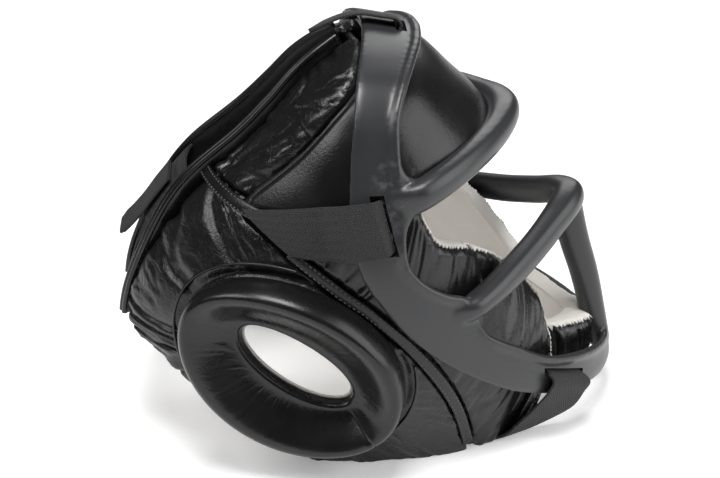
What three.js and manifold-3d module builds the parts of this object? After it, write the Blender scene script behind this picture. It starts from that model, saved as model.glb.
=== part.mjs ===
// Sparring headgear with a moulded face mask, standing on its two jaw edges as it rests on a table.
// Millimetres, +Z up, the face towards -Y, the wearer's left towards +X, the origin under the middle.
import * as THREE from 'three';
import { mergeVertices } from 'three/addons/utils/BufferGeometryUtils.js';
import Module from 'manifold-3d';

const wasm = await Module();
wasm.setup();

// Driving dimensions
const PAD_THICK = 15;            // padded leather wall
const LINING_THICK = 1.6;        // pale suede inside it
const GAP = 0.4;                 // clearance between neighbouring pieces
const SEAM_GAP = 1.8;            // room for the seam strip between ear panel and cheek pad
const RIM_ANGLE = 162;           // where the padded halves stop, either side of the back slit
const BINDING_ANGLE = 4;         // width of the bound edge along the slit
const BINDING_GAP = 0.35;        // clearance on either side of it, as an angle
const MASK_THICK = 4;            // moulded plates
const PLATE_EDGE = 0.35;         // share by which the plates thin out at their edges
const BAR_WIDTH = 17;            // face bars, seen from the front
const BAR_DEPTH = 15;            // face bars, front to back
const BAR_FLARE = 1.8;           // how much a bar widens where it grows out of the plate
const FLARE_START = 0.82;        // where along each half of a bar the flare begins and ends
const FLARE_END = 0.97;
const BAR_SQUARE = 0.8;          // squareness of a bar's section, where 1 is an oval and 0 a rectangle
const BAR_FACING = { side: 0.6, rootSide: 3, front: -60, up: 12 };  // which way a bar's broad face looks
const CHIN_BAR_THINS = 3;        // how much the chin bar loses in depth on its way down
const WEBBING_WIDTH = 30;        // woven elastic straps
const TOP_STRAP_WIDTH = 16;
const TOP_STRAP_LEAN = 12;       // how far it leans over to the wearer's left, as an angle
const WEBBING_THICK = 2;
const RING_HEIGHT = 17;          // ear ring above the panel that it is sewn to
const RING_BED = 0.8;            // clearance under the ring
const RING_CREST = 2.2;          // how far out the crest of the ring lies
const RING_FULL = 0.75;          // how full the ring's section is
const RIM_PROUD = 5;             // how far the bound back edges stand above the crown panels
const STRAP_ON_PLATE = 7.4;      // straps where they lie over the mask
const STRAP_ON_PAD = 0.5;        // straps where they lie on the leather
const PANEL_EDGE = 3;            // how far each padded face falls at its edges
const CROWN_EDGE = 3;
const FOREHEAD_EDGE = 5;
const CHIN_EDGE = 5;
const CHEEK_EDGE = 7;
const CHEEK_THIN = 5;            // how much thinner the cheek pad is at the face rim
const EAR_THIN = 10;             // how much thinner the ear panel is at its hole
const EDGE_CURVE = 6;            // how sharply a padded face turns down at its edges
const EDGE_DRAW = 0.25;          // how strongly a panel's facets crowd towards its edges
const MIDDLE_Y = -5.1;           // middle of the whole length before it is moved over the origin

// The outer face of the padded shell, level by level: half width, reach to the front and to the back,
// and the taper of the front, where 0.5 is an ellipse and 1 is a wedge
const SHELL = [
  { z: -4, width: 84, front: 119, taper: 0.46, back: 120 },
  { z: 30, width: 93, front: 131, taper: 0.72, back: 138 },
  { z: 60, width: 97, front: 131, taper: 0.85, back: 146 },
  { z: 90, width: 98, front: 113, taper: 1.02, back: 141 },
  { z: 120, width: 96, front: 98, taper: 0.98, back: 125 },
  { z: 150, width: 91, front: 83, taper: 0.70, back: 101 },
  { z: 175, width: 83, front: 69, taper: 0.53, back: 70 },
  { z: 192, width: 75, front: 56.5, taper: 0.5, back: 52 },
  { z: 205, width: 66, front: 45.5, taper: 0.5, back: 39.5 },
  { z: 213.5, width: 54, front: 37, taper: 0.5, back: 29 },
  { z: 219.5, width: 40, front: 29, taper: 0.5, back: 19 },
  { z: 223, width: 28, front: 20, taper: 0.5, back: 12 },
  { z: 225.5, width: 14, front: 9, taper: 0.5, back: 6 },
];

// The middle of the mask's moulded plates, level by level, with the shell's columns
const MASK = [
  { z: 0, width: 85, front: 130, taper: 0.60, back: 122 },
  { z: 14, width: 90, front: 145, taper: 0.62, back: 130 },
  { z: 30, width: 95.5, front: 149.5, taper: 0.66, back: 141 },
  { z: 45, width: 98.5, front: 148.5, taper: 0.70, back: 146 },
  { z: 60, width: 100.2, front: 144, taper: 0.78, back: 149 },
  { z: 90, width: 101.2, front: 128, taper: 0.90, back: 144 },
  { z: 120, width: 99.2, front: 106, taper: 0.88, back: 128 },
  { z: 150, width: 94.3, front: 85, taper: 0.66, back: 104 },
  { z: 175, width: 86.2, front: 67, taper: 0.53, back: 73 },
];

// Forehead pad, from the middle of the brow round to its tail above the ear: lower and upper edges
const FOREHEAD = [
  { lowAngle: 0, lowZ: 176, highAngle: 0, highZ: 225 },
  { lowAngle: 32, lowZ: 180, highAngle: 45, highZ: 225 },
  { lowAngle: 60, lowZ: 174, highAngle: 82, highZ: 224.4 },
  { lowAngle: 84, lowZ: 159, highAngle: 100, highZ: 215.5 },
  { lowAngle: 102, lowZ: 153.5, highAngle: 117, highZ: 201.8 },
  { lowAngle: 116, lowZ: 150.5, highAngle: 128, highZ: 180 },
  { lowAngle: 131, lowZ: 149.7, highAngle: 135, highZ: 160 },
];

// Crown panel's edge along the slit, from the top down; its front edge follows the forehead pad
const CROWN = [
  { rimAngle: 158, rimZ: 225 },
  { rimAngle: RIM_ANGLE, rimZ: 212 },
  { rimAngle: RIM_ANGLE, rimZ: 197 },
  { rimAngle: RIM_ANGLE, rimZ: 176 },
  { rimAngle: RIM_ANGLE, rimZ: 157.5 },
];
const CROWN_START = 0.31;        // where the crown panel begins along the forehead pad's edge
const CROWN_TAIL = 0.82;         // where it leaves the forehead pad's tail
const CROWN_DROP = 7.5;          // how far it runs down past that tail
const SEAM_ANGLE = 1.3;          // room for the seam between the two

// Side outline of the panel round the ear, in order: top, back rim, bottom edge, front seam
const EAR_PANEL = [
  { y: 70.5, z: 149 }, { y: 80, z: 152 }, { y: 89, z: 155 },
  { y: 108, z: 134 }, { y: 123.5, z: 112 }, { y: 132, z: 95 }, { y: 137, z: 79 },
  { y: 136, z: 67 }, { y: 121, z: 57 }, { y: 100, z: 41 }, { y: 76, z: 27 }, { y: 48, z: 11 },
  { y: 28, z: -8 }, { y: 0, z: -8 }, { y: -30, z: -8 }, { y: -53, z: -8 },
  { y: -53.5, z: 7 }, { y: -45, z: 33 }, { y: -35, z: 53 }, { y: -22, z: 73 }, { y: -9, z: 87 },
  { y: 8, z: 103 }, { y: 19, z: 111 }, { y: 48, z: 134 },
];

// Cheek pad, from its tail under the temple down to the jaw: the seam behind it and the face rim
const CHEEK = [
  { seamY: 68, seamZ: 147.2, rimY: 60, rimZ: 148.4 },
  { seamY: 46, seamZ: 132, rimY: 26, rimZ: 151.3 },
  { seamY: 30, seamZ: 119.5, rimY: -4, rimZ: 156.6 },
  { seamY: 17, seamZ: 109, rimY: -24, rimZ: 155 },
  { seamY: 6, seamZ: 101, rimY: -29, rimZ: 146 },
  { seamY: -6, seamZ: 90, rimY: -38, rimZ: 132 },
  { seamY: -17, seamZ: 78.5, rimY: -60, rimZ: 120 },
  { seamY: -28, seamZ: 64, rimY: -84, rimZ: 99 },
  { seamY: -38, seamZ: 48, rimY: -102, rimZ: 73 },
  { seamY: -47, seamZ: 28, rimY: -109, rimZ: 36 },
  { seamY: -55.5, seamZ: -4, rimY: -97, rimZ: 2.5 },
];

// Chin pad between the cheek pads, from its lower edge up, and how far each level dips in the middle
const CHIN = [
  { angle: 33.7, z: 17, dip: 0 },
  { angle: 33.3, z: 30, dip: 2 },
  { angle: 33.9, z: 46, dip: 7 },
  { angle: 35.7, z: 59, dip: 12 },
];

// Ear ring: middle, half axes and tilt of its outline and of its hole, in the side view
const EAR = {
  y: 43, z: 67, outerLong: 62, outerShort: 47, outerTilt: 30, holeLong: 36, holeShort: 15.5, holeTilt: 34,
};
const RING_CLEAR = 1;            // how far the ring and the lining stand back from the panel's hole
const LINING_CLEAR = 2;

// Mask plate over temple, cheek and chin: front edge and rear edge, from the temple to the chin
const PLATE = [
  { frontAngle: 80, frontZ: 152, rearAngle: 99, rearZ: 162 },
  { frontAngle: 81.5, frontZ: 138, rearAngle: 96.5, rearZ: 140 },
  { frontAngle: 81, frontZ: 127, rearAngle: 93.5, rearZ: 122 },
  { frontAngle: 77, frontZ: 116, rearAngle: 89, rearZ: 106 },
  { frontAngle: 71, frontZ: 107, rearAngle: 84, rearZ: 91 },
  { frontAngle: 65, frontZ: 101, rearAngle: 79, rearZ: 78 },
  { frontAngle: 61, frontZ: 87, rearAngle: 73, rearZ: 64 },
  { frontAngle: 57, frontZ: 70, rearAngle: 65, rearZ: 49 },
  { frontAngle: 49, frontZ: 56, rearAngle: 56, rearZ: 36 },
  { frontAngle: 35, frontZ: 46, rearAngle: 42, rearZ: 24 },
  { frontAngle: 18, frontZ: 41, rearAngle: 20, rearZ: 16 },
  { frontAngle: 0, frontZ: 40, rearAngle: 0, rearZ: 14 },
];

// Mask arch over the top of the head, from the temple to the middle: rear edge and front edge
const ARCH = [
  { rearX: 93.3, rearY: 14, rearZ: 158, frontX: 93, frontY: -14, frontZ: 148 },
  { rearX: 84.5, rearY: 13, rearZ: 180, frontX: 82, frontY: -12, frontZ: 180 },
  { rearX: 77, rearY: 11, rearZ: 198.5, frontX: 74, frontY: -12, frontZ: 198 },
  { rearX: 64, rearY: 9, rearZ: 213.5, frontX: 60, frontY: -17, frontZ: 211 },
  { rearX: 45, rearY: 6, rearZ: 222, frontX: 40, frontY: -23, frontZ: 218 },
  { rearX: 22, rearY: 3, rearZ: 227.3, frontX: 20, frontY: -28, frontZ: 222 },
  { rearX: 0, rearY: 2, rearZ: 229.3, frontX: 0, frontY: -30, frontZ: 223.5 },
];

// Middle lines of the face bars, from the plate at the side to the front
const BROW_BAR = [
  [93.2, -3, 156], [91, -16, 161], [84, -29.5, 166], [71, -43, 169.5], [51.5, -58, 173],
  [31, -70, 175.5], [14, -77.5, 178], [0, -80, 178.5],
];
const NOSE_BAR = [
  [95, -34, 89], [90.5, -48, 94], [80, -62.5, 100], [65, -76.5, 105.5], [47, -91, 111],
  [28, -105.5, 117.5], [12.5, -116.5, 122.5], [0, -120.5, 123.5],
];
const CHIN_BAR = [[0, -119, 121], [0, -130, 98], [0, -137.5, 70], [0, -142.5, 46], [0, -145.87, 30]];

// Temple strap, out of the mask's slot and back to the seam: upper and lower edges in the side view
const TEMPLE_STRAP = [
  { highY: -2.5, highZ: 162, lowY: -9, lowZ: 135.5 },
  { highY: 22, highZ: 158.5, lowY: 9.5, lowZ: 132.5 },
  { highY: 46, highZ: 154, lowY: 28, lowZ: 130.5 },
  { highY: 68, highZ: 149.6, lowY: 44, lowZ: 131.5 },
];
const STRAP_OFF_HIGH = 18;       // where its upper and lower edges leave the plate
const STRAP_OFF_LOW = 15;
const STRAP_STEP = 12;           // length of its step down to the leather
const STRAP_RISE = 0.08;         // share of its length in which it rises out of the slot
const STRAP_IN_SLOT = 2;         // its level in the slot
const TEMPLE_SLOT = { highY: -2.5, highZ: 164, lowY: -9, lowZ: 133.5, before: 1.2, behind: 6 };
const JAW_SLOT = { frontAngle: 34.8, frontZ: 32.5, rearAngle: 49.8, rearZ: 45, half: 2.8 };
const TOP_SLOT = { half: 9.5, frontY: -23, rearY: -17, low: 215, high: 240 };

// Jaw strap, out of the mask's lower slot, down and back under the front corner of the cheek pad
const JAW_STRAP = [
  { rearX: 64.5, rearY: -97, rearZ: 44.5, frontX: 46, frontY: -120, frontZ: 33 },
  { rearX: 72.5, rearY: -101.5, rearZ: 41, frontX: 53, frontY: -126.5, frontZ: 29 },
  { rearX: 72, rearY: -99, rearZ: 33, frontX: 53, frontY: -123.5, frontZ: 22 },
  { rearX: 71, rearY: -92, rearZ: 23, frontX: 53, frontY: -118, frontZ: 13 },
  { rearX: 69.5, rearY: -83, rearZ: 12, frontX: 53, frontY: -107.5, frontZ: 6 },
  { rearX: 69, rearY: -76, rearZ: 4.5, frontX: 57.5, frontY: -92, frontZ: 1.8 },
  { rearX: 67.5, rearY: -71, rearZ: 1.5, frontX: 62, frontY: -79, frontZ: 1.4 },
];

// Top strap, out of the arch's slot and back over the slit
const TOP_STRAP = [
  [0, -19.4, 224], [0, -20, 227.5], [0, -17.2, 230.9], [0, -9, 232.6], [0, 2, 234.3],
  [0, 11, 233], [0, 20, 229.7], [0, 26, 226.7], [0, 30, 224.6],
];
const TOP_TIP = 0.25;            // width left at the ends of the top strap and of the tab
const TAB_TIP = 0.6;

// Levels of the bound back edges: their ends, and where they begin and finish standing proud
const RIM_TOP = 221.5;
const RIM_BOTTOM = 70;
const RIM_FLUSH = 95;
const RIM_RISEN = 150;

// Woven straps across the back slit, by level, and the tab that hangs out of the upper one
const UPPER_BACK = { low: 121, high: 151, lift: 1.5 };
const LOWER_BACK = { low: 77, high: 97, lift: -6 };
const BACK_TAB = [
  { z: 143, lift: 3 },
  { z: 133, lift: 3 },
  { z: 124, lift: 3.2 },
  { z: 116, lift: 4.5 },
  { z: 108, lift: 7 },
];

const rad = THREE.MathUtils.degToRad;

// A smooth value of one column of a table, at a place on another column
function columnAt(table, key, along, at) {
  const last = table.length - 1;
  let i = 0;
  while (i < last - 1 && at > table[i + 1][along]) i += 1;
  const slope = (k) => {
    const low = Math.max(k - 1, 0);
    const high = Math.min(k + 1, last);
    return (table[high][key] - table[low][key]) / (table[high][along] - table[low][along]);
  };
  const span = table[i + 1][along] - table[i][along];
  const t = THREE.MathUtils.clamp((at - table[i][along]) / span, 0, 1);
  const blend = t * t * (3 - 2 * t);
  const rise = t * (1 - t) * (1 - t) * slope(i) - t * t * (1 - t) * slope(i + 1);
  return table[i][key] * (1 - blend) + table[i + 1][key] * blend + span * rise;
}

// A smooth value of one column where the rows are evenly spaced from 0 to 1
function rowAt(rows, key, t) {
  const indexed = rows.map((row, i) => ({ ...row, place: i / (rows.length - 1) }));
  return columnAt(indexed, key, 'place', t);
}

// A point of a form on the wearer's left, by its angle from the front and its level
function onForm(form, angle, z) {
  const c = Math.cos(rad(angle));
  const s = Math.sin(rad(Math.abs(angle)));
  const width = columnAt(form, 'width', 'z', z);
  if (c < 0) return new THREE.Vector3(Math.sign(angle) * width * s, -c * columnAt(form, 'back', 'z', z), z);
  const spread = Math.pow(s, 2 * columnAt(form, 'taper', 'z', z));
  return new THREE.Vector3(Math.sign(angle) * width * spread, -c * columnAt(form, 'front', 'z', z), z);
}

// The angle at which a form passes a place in the side view
function angleAt(form, y, z) {
  const reach = columnAt(form, y < 0 ? 'front' : 'back', 'z', z);
  return THREE.MathUtils.radToDeg(Math.acos(THREE.MathUtils.clamp(-y / reach, -1, 1)));
}

// A point lifted off a form along its outward normal
function lifted(form, angle, z, lift) {
  const step = 0.5;
  const point = onForm(form, angle, z);
  const round = onForm(form, angle + step, z).sub(onForm(form, angle - step, z));
  const up = onForm(form, angle, z + step).sub(onForm(form, angle, z - step));
  const normal = round.cross(up).normalize();
  return point.addScaledVector(normal, lift);
}

// Leather gives way where it rests on the table
function rested(point) {
  point.z = Math.max(point.z, 0);
  return point;
}

// A geometry from points and triangles, turned so that its faces point out
function solid(points, triangles) {
  let volume = 0;
  for (const [a, b, c] of triangles) {
    volume += points[a].dot(new THREE.Vector3().crossVectors(points[b], points[c]));
  }
  const index = triangles.flatMap(([a, b, c]) => (volume > 0 ? [a, b, c] : [a, c, b]));
  const geometry = new THREE.BufferGeometry();
  geometry.setAttribute('position', new THREE.Float32BufferAttribute(points.flatMap((p) => p.toArray()), 3));
  geometry.setIndex(index);
  return geometry;
}

// A closed wall between two faces given on the same grid, either a sheet or a ring that closes on itself
function wall(stepsU, stepsV, outer, inner, ring = false) {
  const points = [];
  const columns = ring ? stepsU : stepsU + 1;
  const place = (side, i, j) => side * columns * (stepsV + 1) + (i % columns) * (stepsV + 1) + j;
  for (const face of [outer, inner]) {
    for (let i = 0; i < columns; i += 1) {
      for (let j = 0; j <= stepsV; j += 1) points.push(face(i / stepsU, j / stepsV));
    }
  }
  const triangles = [];
  const quad = (a, b, c, d) => triangles.push([a, b, c], [a, c, d]);
  for (let i = 0; i < stepsU; i += 1) {
    for (let j = 0; j < stepsV; j += 1) {
      quad(place(0, i, j), place(0, i + 1, j), place(0, i + 1, j + 1), place(0, i, j + 1));
      quad(place(1, i, j), place(1, i, j + 1), place(1, i + 1, j + 1), place(1, i + 1, j));
    }
    quad(place(0, i, 0), place(1, i, 0), place(1, i + 1, 0), place(0, i + 1, 0));
    quad(place(0, i, stepsV), place(0, i + 1, stepsV), place(1, i + 1, stepsV), place(1, i, stepsV));
  }
  for (let j = 0; j < stepsV && !ring; j += 1) {
    quad(place(0, 0, j), place(0, 0, j + 1), place(1, 0, j + 1), place(1, 0, j));
    quad(place(0, stepsU, j), place(1, stepsU, j), place(1, stepsU, j + 1), place(0, stepsU, j + 1));
  }
  return solid(points, triangles);
}

// A section carried along stations; each station has a middle, two half-size vectors and a squareness
function sweep(stations, sides, squareness) {
  const points = [];
  for (const { middle, across, through } of stations) {
    for (let k = 0; k < sides; k += 1) {
      const turn = (2 * Math.PI * (k + 0.5)) / sides;
      const c = Math.sign(Math.cos(turn)) * Math.abs(Math.cos(turn)) ** squareness;
      const s = Math.sign(Math.sin(turn)) * Math.abs(Math.sin(turn)) ** squareness;
      points.push(middle.clone().addScaledVector(across, c).addScaledVector(through, s));
    }
  }
  const triangles = [];
  for (let i = 0; i + 1 < stations.length; i += 1) {
    for (let k = 0; k < sides; k += 1) {
      const next = (k + 1) % sides;
      const [a, b, c, d] = [i * sides + k, i * sides + next, (i + 1) * sides + next, (i + 1) * sides + k];
      triangles.push([a, b, c], [a, c, d]);
    }
  }
  const end = (stations.length - 1) * sides;
  for (let k = 1; k + 1 < sides; k += 1) triangles.push([0, k + 1, k], [end, end + k, end + k + 1]);
  return solid(points, triangles);
}

// How far a padded face falls below its crest towards the panel's edges
function pillow(u, v, edge) {
  return -edge * Math.max(Math.abs(2 * u - 1), Math.abs(2 * v - 1)) ** EDGE_CURVE;
}

// Even steps drawn towards both ends, so that rounded edges get more of them
const toEdges = (t) => 0.5 - 0.5 * Math.cos(Math.PI * t) * (1 - EDGE_DRAW * Math.sin(Math.PI * t));

// A panel between two edges, each an angle and a level, with a rounded outer face
function panel(edges, stepsU, stepsV, outer, inner) {
  const face = (lift) => (u, v) => {
    const { angle, z } = edges(u, toEdges(v));
    return rested(lifted(SHELL, angle, z, lift(u, toEdges(v))));
  };
  return wall(stepsU, stepsV, face(outer), face(inner));
}

const padOutside = (edge) => (u, v) => pillow(u, v, edge);
const padInside = () => -PAD_THICK;

// A leather pad and the suede behind it, on the same grid
function padAndLining(edges, stepsU, stepsV, edge, inside = padInside) {
  const liningOutside = (u, v) => inside(u, v) - GAP;
  const liningInside = (u, v) => inside(u, v) - GAP - LINING_THICK;
  return {
    leather: panel(edges, stepsU, stepsV, padOutside(edge), inside),
    lining: panel(edges, stepsU, stepsV, liningOutside, liningInside),
  };
}

function shade(colour, roughness) {
  return new THREE.MeshStandardMaterial({ color: colour, roughness, metalness: 0 });
}

const LOOKS = {
  leather: () => shade(0x121213, 0.32),
  plastic: () => shade(0x343638, 0.45),
  webbing: () => shade(0x232427, 0.85),
  suede: () => shade(0xb4b0a8, 0.9),
};

const headgear = new THREE.Group();
const pieces = new THREE.Group();
pieces.position.y = -MIDDLE_Y;
headgear.add(pieces);

function add(name, geometry, look) {
  const mesh = new THREE.Mesh(geometry, LOOKS[look]());
  mesh.name = name;
  pieces.add(mesh);
  return mesh;
}

// A piece and its mirror image on the wearer's right
function addPair(name, geometry, look) {
  add(`${name}_left`, geometry, look);
  add(`${name}_right`, geometry, look).scale.x = -1;
}

// Forehead pad, one piece from ear to ear
function foreheadEdges(u, v) {
  const side = 2 * u - 1;
  const t = Math.abs(side);
  const angle = THREE.MathUtils.lerp(rowAt(FOREHEAD, 'lowAngle', t), rowAt(FOREHEAD, 'highAngle', t), v);
  const z = THREE.MathUtils.lerp(rowAt(FOREHEAD, 'lowZ', t), rowAt(FOREHEAD, 'highZ', t), v);
  return { angle: Math.sign(side) * angle, z };
}
const forehead = padAndLining(foreheadEdges, 24, 5, FOREHEAD_EDGE);
add('forehead_pad', forehead.leather, 'leather');
add('forehead_lining', forehead.lining, 'suede');

// Crown panels either side of the slit
function crownEdges(u, v) {
  const along = THREE.MathUtils.lerp(CROWN_START, 1, Math.min(u / CROWN_TAIL, 1));
  const drop = CROWN_DROP * Math.max((u - CROWN_TAIL) / (1 - CROWN_TAIL), 0);
  const lowAngle = rowAt(FOREHEAD, 'highAngle', along) + SEAM_ANGLE;
  const lowZ = rowAt(FOREHEAD, 'highZ', along) + 2 * GAP - drop;
  const angle = THREE.MathUtils.lerp(lowAngle, rowAt(CROWN, 'rimAngle', u), v);
  return { angle, z: THREE.MathUtils.lerp(lowZ, rowAt(CROWN, 'rimZ', u), v) };
}
const crown = padAndLining(crownEdges, 11, 4, CROWN_EDGE);
addPair('crown_panel', crown.leather, 'leather');
addPair('crown_lining', crown.lining, 'suede');

// The edge of an ellipse about the ear's middle in the side view, towards a given direction
function earEdge(long, short, tilt, turn) {
  const local = turn - rad(tilt);
  const radius = (long * short) / Math.hypot(short * Math.cos(local), long * Math.sin(local));
  return { y: EAR.y + radius * Math.cos(turn), z: EAR.z + radius * Math.sin(turn) };
}

// A wall round the ear, from the hole out to an outline in the side view
function earWall(outline, stepsU, stepsV, outer, inner, hole) {
  const rows = [...outline, outline[0]].map((row, i) => ({ ...row, place: i / outline.length }));
  const face = (lift) => (u, v) => {
    const y = columnAt(rows, 'y', 'place', u);
    const z = columnAt(rows, 'z', 'place', u);
    const start = earEdge(hole.long, hole.short, EAR.holeTilt, Math.atan2(z - EAR.z, y - EAR.y));
    const atY = THREE.MathUtils.lerp(start.y, y, v);
    const atZ = THREE.MathUtils.lerp(start.z, z, v);
    return rested(lifted(SHELL, angleAt(SHELL, atY, atZ), atZ, lift(u, v)));
  };
  return wall(stepsU, stepsV, face(outer), face(inner), true);
}

const EAR_HOLE = { long: EAR.holeLong, short: EAR.holeShort };
const LINING_HOLE = { long: EAR.holeLong - LINING_CLEAR, short: EAR.holeShort - LINING_CLEAR };
const earPanelOutside = (u, v) => -PANEL_EDGE * Math.max(2 * v - 1, 0) ** EDGE_CURVE;
const earPanelInside = (u, v) => -PAD_THICK + EAR_THIN * (1 - v) ** 2;
const earLiningOutside = (u, v) => earPanelInside(u, v) - GAP;
const earLiningInside = (u, v) => earLiningOutside(u, v) - LINING_THICK;
addPair('ear_panel', earWall(EAR_PANEL, 40, 3, earPanelOutside, earPanelInside, EAR_HOLE), 'leather');
addPair('ear_lining', earWall(EAR_PANEL, 40, 3, earLiningOutside, earLiningInside, LINING_HOLE), 'suede');

// Cheek pads in front of the seam
function cheekEdges(u, v) {
  const y = THREE.MathUtils.lerp(rowAt(CHEEK, 'seamY', u) - SEAM_GAP, rowAt(CHEEK, 'rimY', u), v);
  const z = THREE.MathUtils.lerp(rowAt(CHEEK, 'seamZ', u), rowAt(CHEEK, 'rimZ', u), v);
  return { angle: angleAt(SHELL, y, z), z };
}
const cheekInside = (u, v) => -PAD_THICK + CHEEK_THIN * v ** EDGE_CURVE;
const cheek = padAndLining(cheekEdges, 18, 5, CHEEK_EDGE, cheekInside);
addPair('cheek_pad', cheek.leather, 'leather');
addPair('cheek_lining', cheek.lining, 'suede');

// Chin pad
function chinEdges(u, v) {
  const side = 2 * u - 1;
  const dip = rowAt(CHIN, 'dip', v) * (1 - side * side);
  return { angle: rowAt(CHIN, 'angle', v) * side, z: rowAt(CHIN, 'z', v) - dip };
}
const chin = padAndLining(chinEdges, 10, 4, CHIN_EDGE);
add('chin_pad', chin.leather, 'leather');
add('chin_lining', chin.lining, 'suede');

// Ear rings: a soft roll, steep outside and sloping into the hole, bedded on the panel
function ringSection(turn, stepsUp) {
  const hole = earEdge(EAR.holeLong + RING_CLEAR, EAR.holeShort + RING_CLEAR, EAR.holeTilt, turn);
  const outline = earEdge(EAR.outerLong, EAR.outerShort, EAR.outerTilt, turn);
  const at = (out, height) => {
    const y = THREE.MathUtils.lerp(hole.y, outline.y, out);
    const z = THREE.MathUtils.lerp(hole.z, outline.z, out);
    return lifted(SHELL, angleAt(SHELL, y, z), z, RING_BED + height);
  };
  const section = [];
  for (let k = 0; k <= stepsUp; k += 1) {
    const out = 0.5 - 0.5 * Math.cos((Math.PI * k) / stepsUp);
    section.push(at(out, RING_HEIGHT * Math.max(Math.sin(Math.PI * out ** RING_CREST), 0) ** RING_FULL));
  }
  section.push(at(0.5, 0));
  return section;
}

function ring(stepsU, stepsUp) {
  const sections = [];
  for (let i = 0; i < stepsU; i += 1) sections.push(ringSection((2 * Math.PI * i) / stepsU, stepsUp));
  const around = sections[0].length;
  const place = (i, j) => (i % stepsU) * around + (j % around);
  const triangles = [];
  for (let i = 0; i < stepsU; i += 1) {
    for (let j = 0; j < around; j += 1) {
      triangles.push([place(i, j), place(i + 1, j), place(i + 1, j + 1)]);
      triangles.push([place(i, j), place(i + 1, j + 1), place(i, j + 1)]);
    }
  }
  return solid(sections.flat(), triangles);
}
addPair('ear_ring', ring(32, 6), 'leather');

// Bound edges along the back slit
function bindingFace(angle) {
  const inside = -PAD_THICK - GAP - LINING_THICK;
  return (u, v) => {
    const z = THREE.MathUtils.lerp(RIM_TOP, RIM_BOTTOM, u);
    const proud = RIM_PROUD * THREE.MathUtils.smoothstep(z, RIM_FLUSH, RIM_RISEN);
    return lifted(SHELL, angle, z, THREE.MathUtils.lerp(inside, proud, v));
  };
}
const bindingStart = RIM_ANGLE + BINDING_GAP;
const bindingEnd = RIM_ANGLE + BINDING_ANGLE;
addPair('rim_binding', wall(20, 1, bindingFace(bindingEnd), bindingFace(bindingStart)), 'leather');

// Mask: plate, arch and bars joined into one moulding
function toManifold(geometry) {
  const merged = mergeVertices(geometry, 1e-4);
  const vertProperties = new Float32Array(merged.attributes.position.array);
  const triVerts = new Uint32Array(merged.index.array);
  return new wasm.Manifold(new wasm.Mesh({ numProp: 3, vertProperties, triVerts }));
}

function fromManifold(body) {
  const mesh = body.getMesh();
  const geometry = new THREE.BufferGeometry();
  geometry.setAttribute('position', new THREE.BufferAttribute(new Float32Array(mesh.vertProperties), 3));
  geometry.setIndex(new THREE.BufferAttribute(new Uint32Array(mesh.triVerts), 1));
  return geometry;
}

function plate() {
  const face = (lift) => (u, v) => {
    const side = 1 - 2 * u;
    const t = 1 - Math.abs(side);
    const angle = THREE.MathUtils.lerp(rowAt(PLATE, 'frontAngle', t), rowAt(PLATE, 'rearAngle', t), v);
    const z = THREE.MathUtils.lerp(rowAt(PLATE, 'frontZ', t), rowAt(PLATE, 'rearZ', t), v);
    return lifted(MASK, Math.sign(side) * angle, z, lift * (1 - PLATE_EDGE * Math.abs(2 * v - 1) ** 4));
  };
  return wall(36, 3, face(MASK_THICK / 2), face(-MASK_THICK / 2));
}

// A sheet of even thickness between a rear and a front edge
function ribbon(point, stepsU, stepsV, thick) {
  const step = 0.01;
  const face = (lift) => (u, v) => {
    const along = point(Math.min(u + step, 1), v).sub(point(Math.max(u - step, 0), v));
    const back = point(u, v + step).sub(point(u, v - step));
    return point(u, v).addScaledVector(back.cross(along).normalize(), lift);
  };
  return wall(stepsU, stepsV, face(-thick / 2), face(thick / 2));
}

// A point between the edges of such a sheet
function betweenEdges(rows, t, v) {
  const at = (axis) => THREE.MathUtils.lerp(rowAt(rows, `front${axis}`, t), rowAt(rows, `rear${axis}`, t), v);
  return new THREE.Vector3(at('X'), at('Y'), at('Z'));
}

function archPoint(u, v) {
  const side = 1 - 2 * u;
  const point = betweenEdges(ARCH, 1 - Math.abs(side), v);
  point.x *= Math.sign(side);
  return point;
}

// A face bar from side to side, which flattens and widens where it grows out of the plate
function crossBar(half, steps) {
  const left = half.map((p) => new THREE.Vector3(...p));
  const right = left.slice(0, -1).reverse().map((p) => new THREE.Vector3(-p.x, p.y, p.z));
  const curve = new THREE.CatmullRomCurve3([...left, ...right]);
  const stations = [];
  for (let i = 0; i <= steps; i += 1) {
    const t = i / steps;
    const middle = curve.getPointAt(t);
    const tangent = curve.getTangentAt(t);
    const root = THREE.MathUtils.smoothstep(Math.abs(2 * t - 1), FLARE_START, FLARE_END);
    const sideShare = BAR_FACING.side + BAR_FACING.rootSide * root;
    const outward = new THREE.Vector3(middle.x * sideShare, BAR_FACING.front, BAR_FACING.up);
    outward.addScaledVector(tangent, -outward.dot(tangent)).normalize();
    const width = THREE.MathUtils.lerp(BAR_WIDTH, BAR_WIDTH * BAR_FLARE, root ** 2);
    const across = outward.clone().cross(tangent).multiplyScalar(width / 2);
    const depth = THREE.MathUtils.lerp(BAR_DEPTH, MASK_THICK - 1, root);
    stations.push({ middle, across, through: outward.multiplyScalar(depth / 2) });
  }
  return sweep(stations, 8, BAR_SQUARE);
}

// The upright bar from the nose to the chin
function chinBar(steps) {
  const curve = new THREE.CatmullRomCurve3(CHIN_BAR.map((p) => new THREE.Vector3(...p)));
  const stations = [];
  for (let i = 0; i <= steps; i += 1) {
    const tangent = curve.getTangentAt(i / steps);
    const across = new THREE.Vector3(BAR_WIDTH / 2, 0, 0);
    const through = across.clone().cross(tangent).setLength((BAR_DEPTH - CHIN_BAR_THINS * (i / steps)) / 2);
    stations.push({ middle: curve.getPointAt(i / steps), across, through });
  }
  return sweep(stations, 8, BAR_SQUARE);
}

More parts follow.
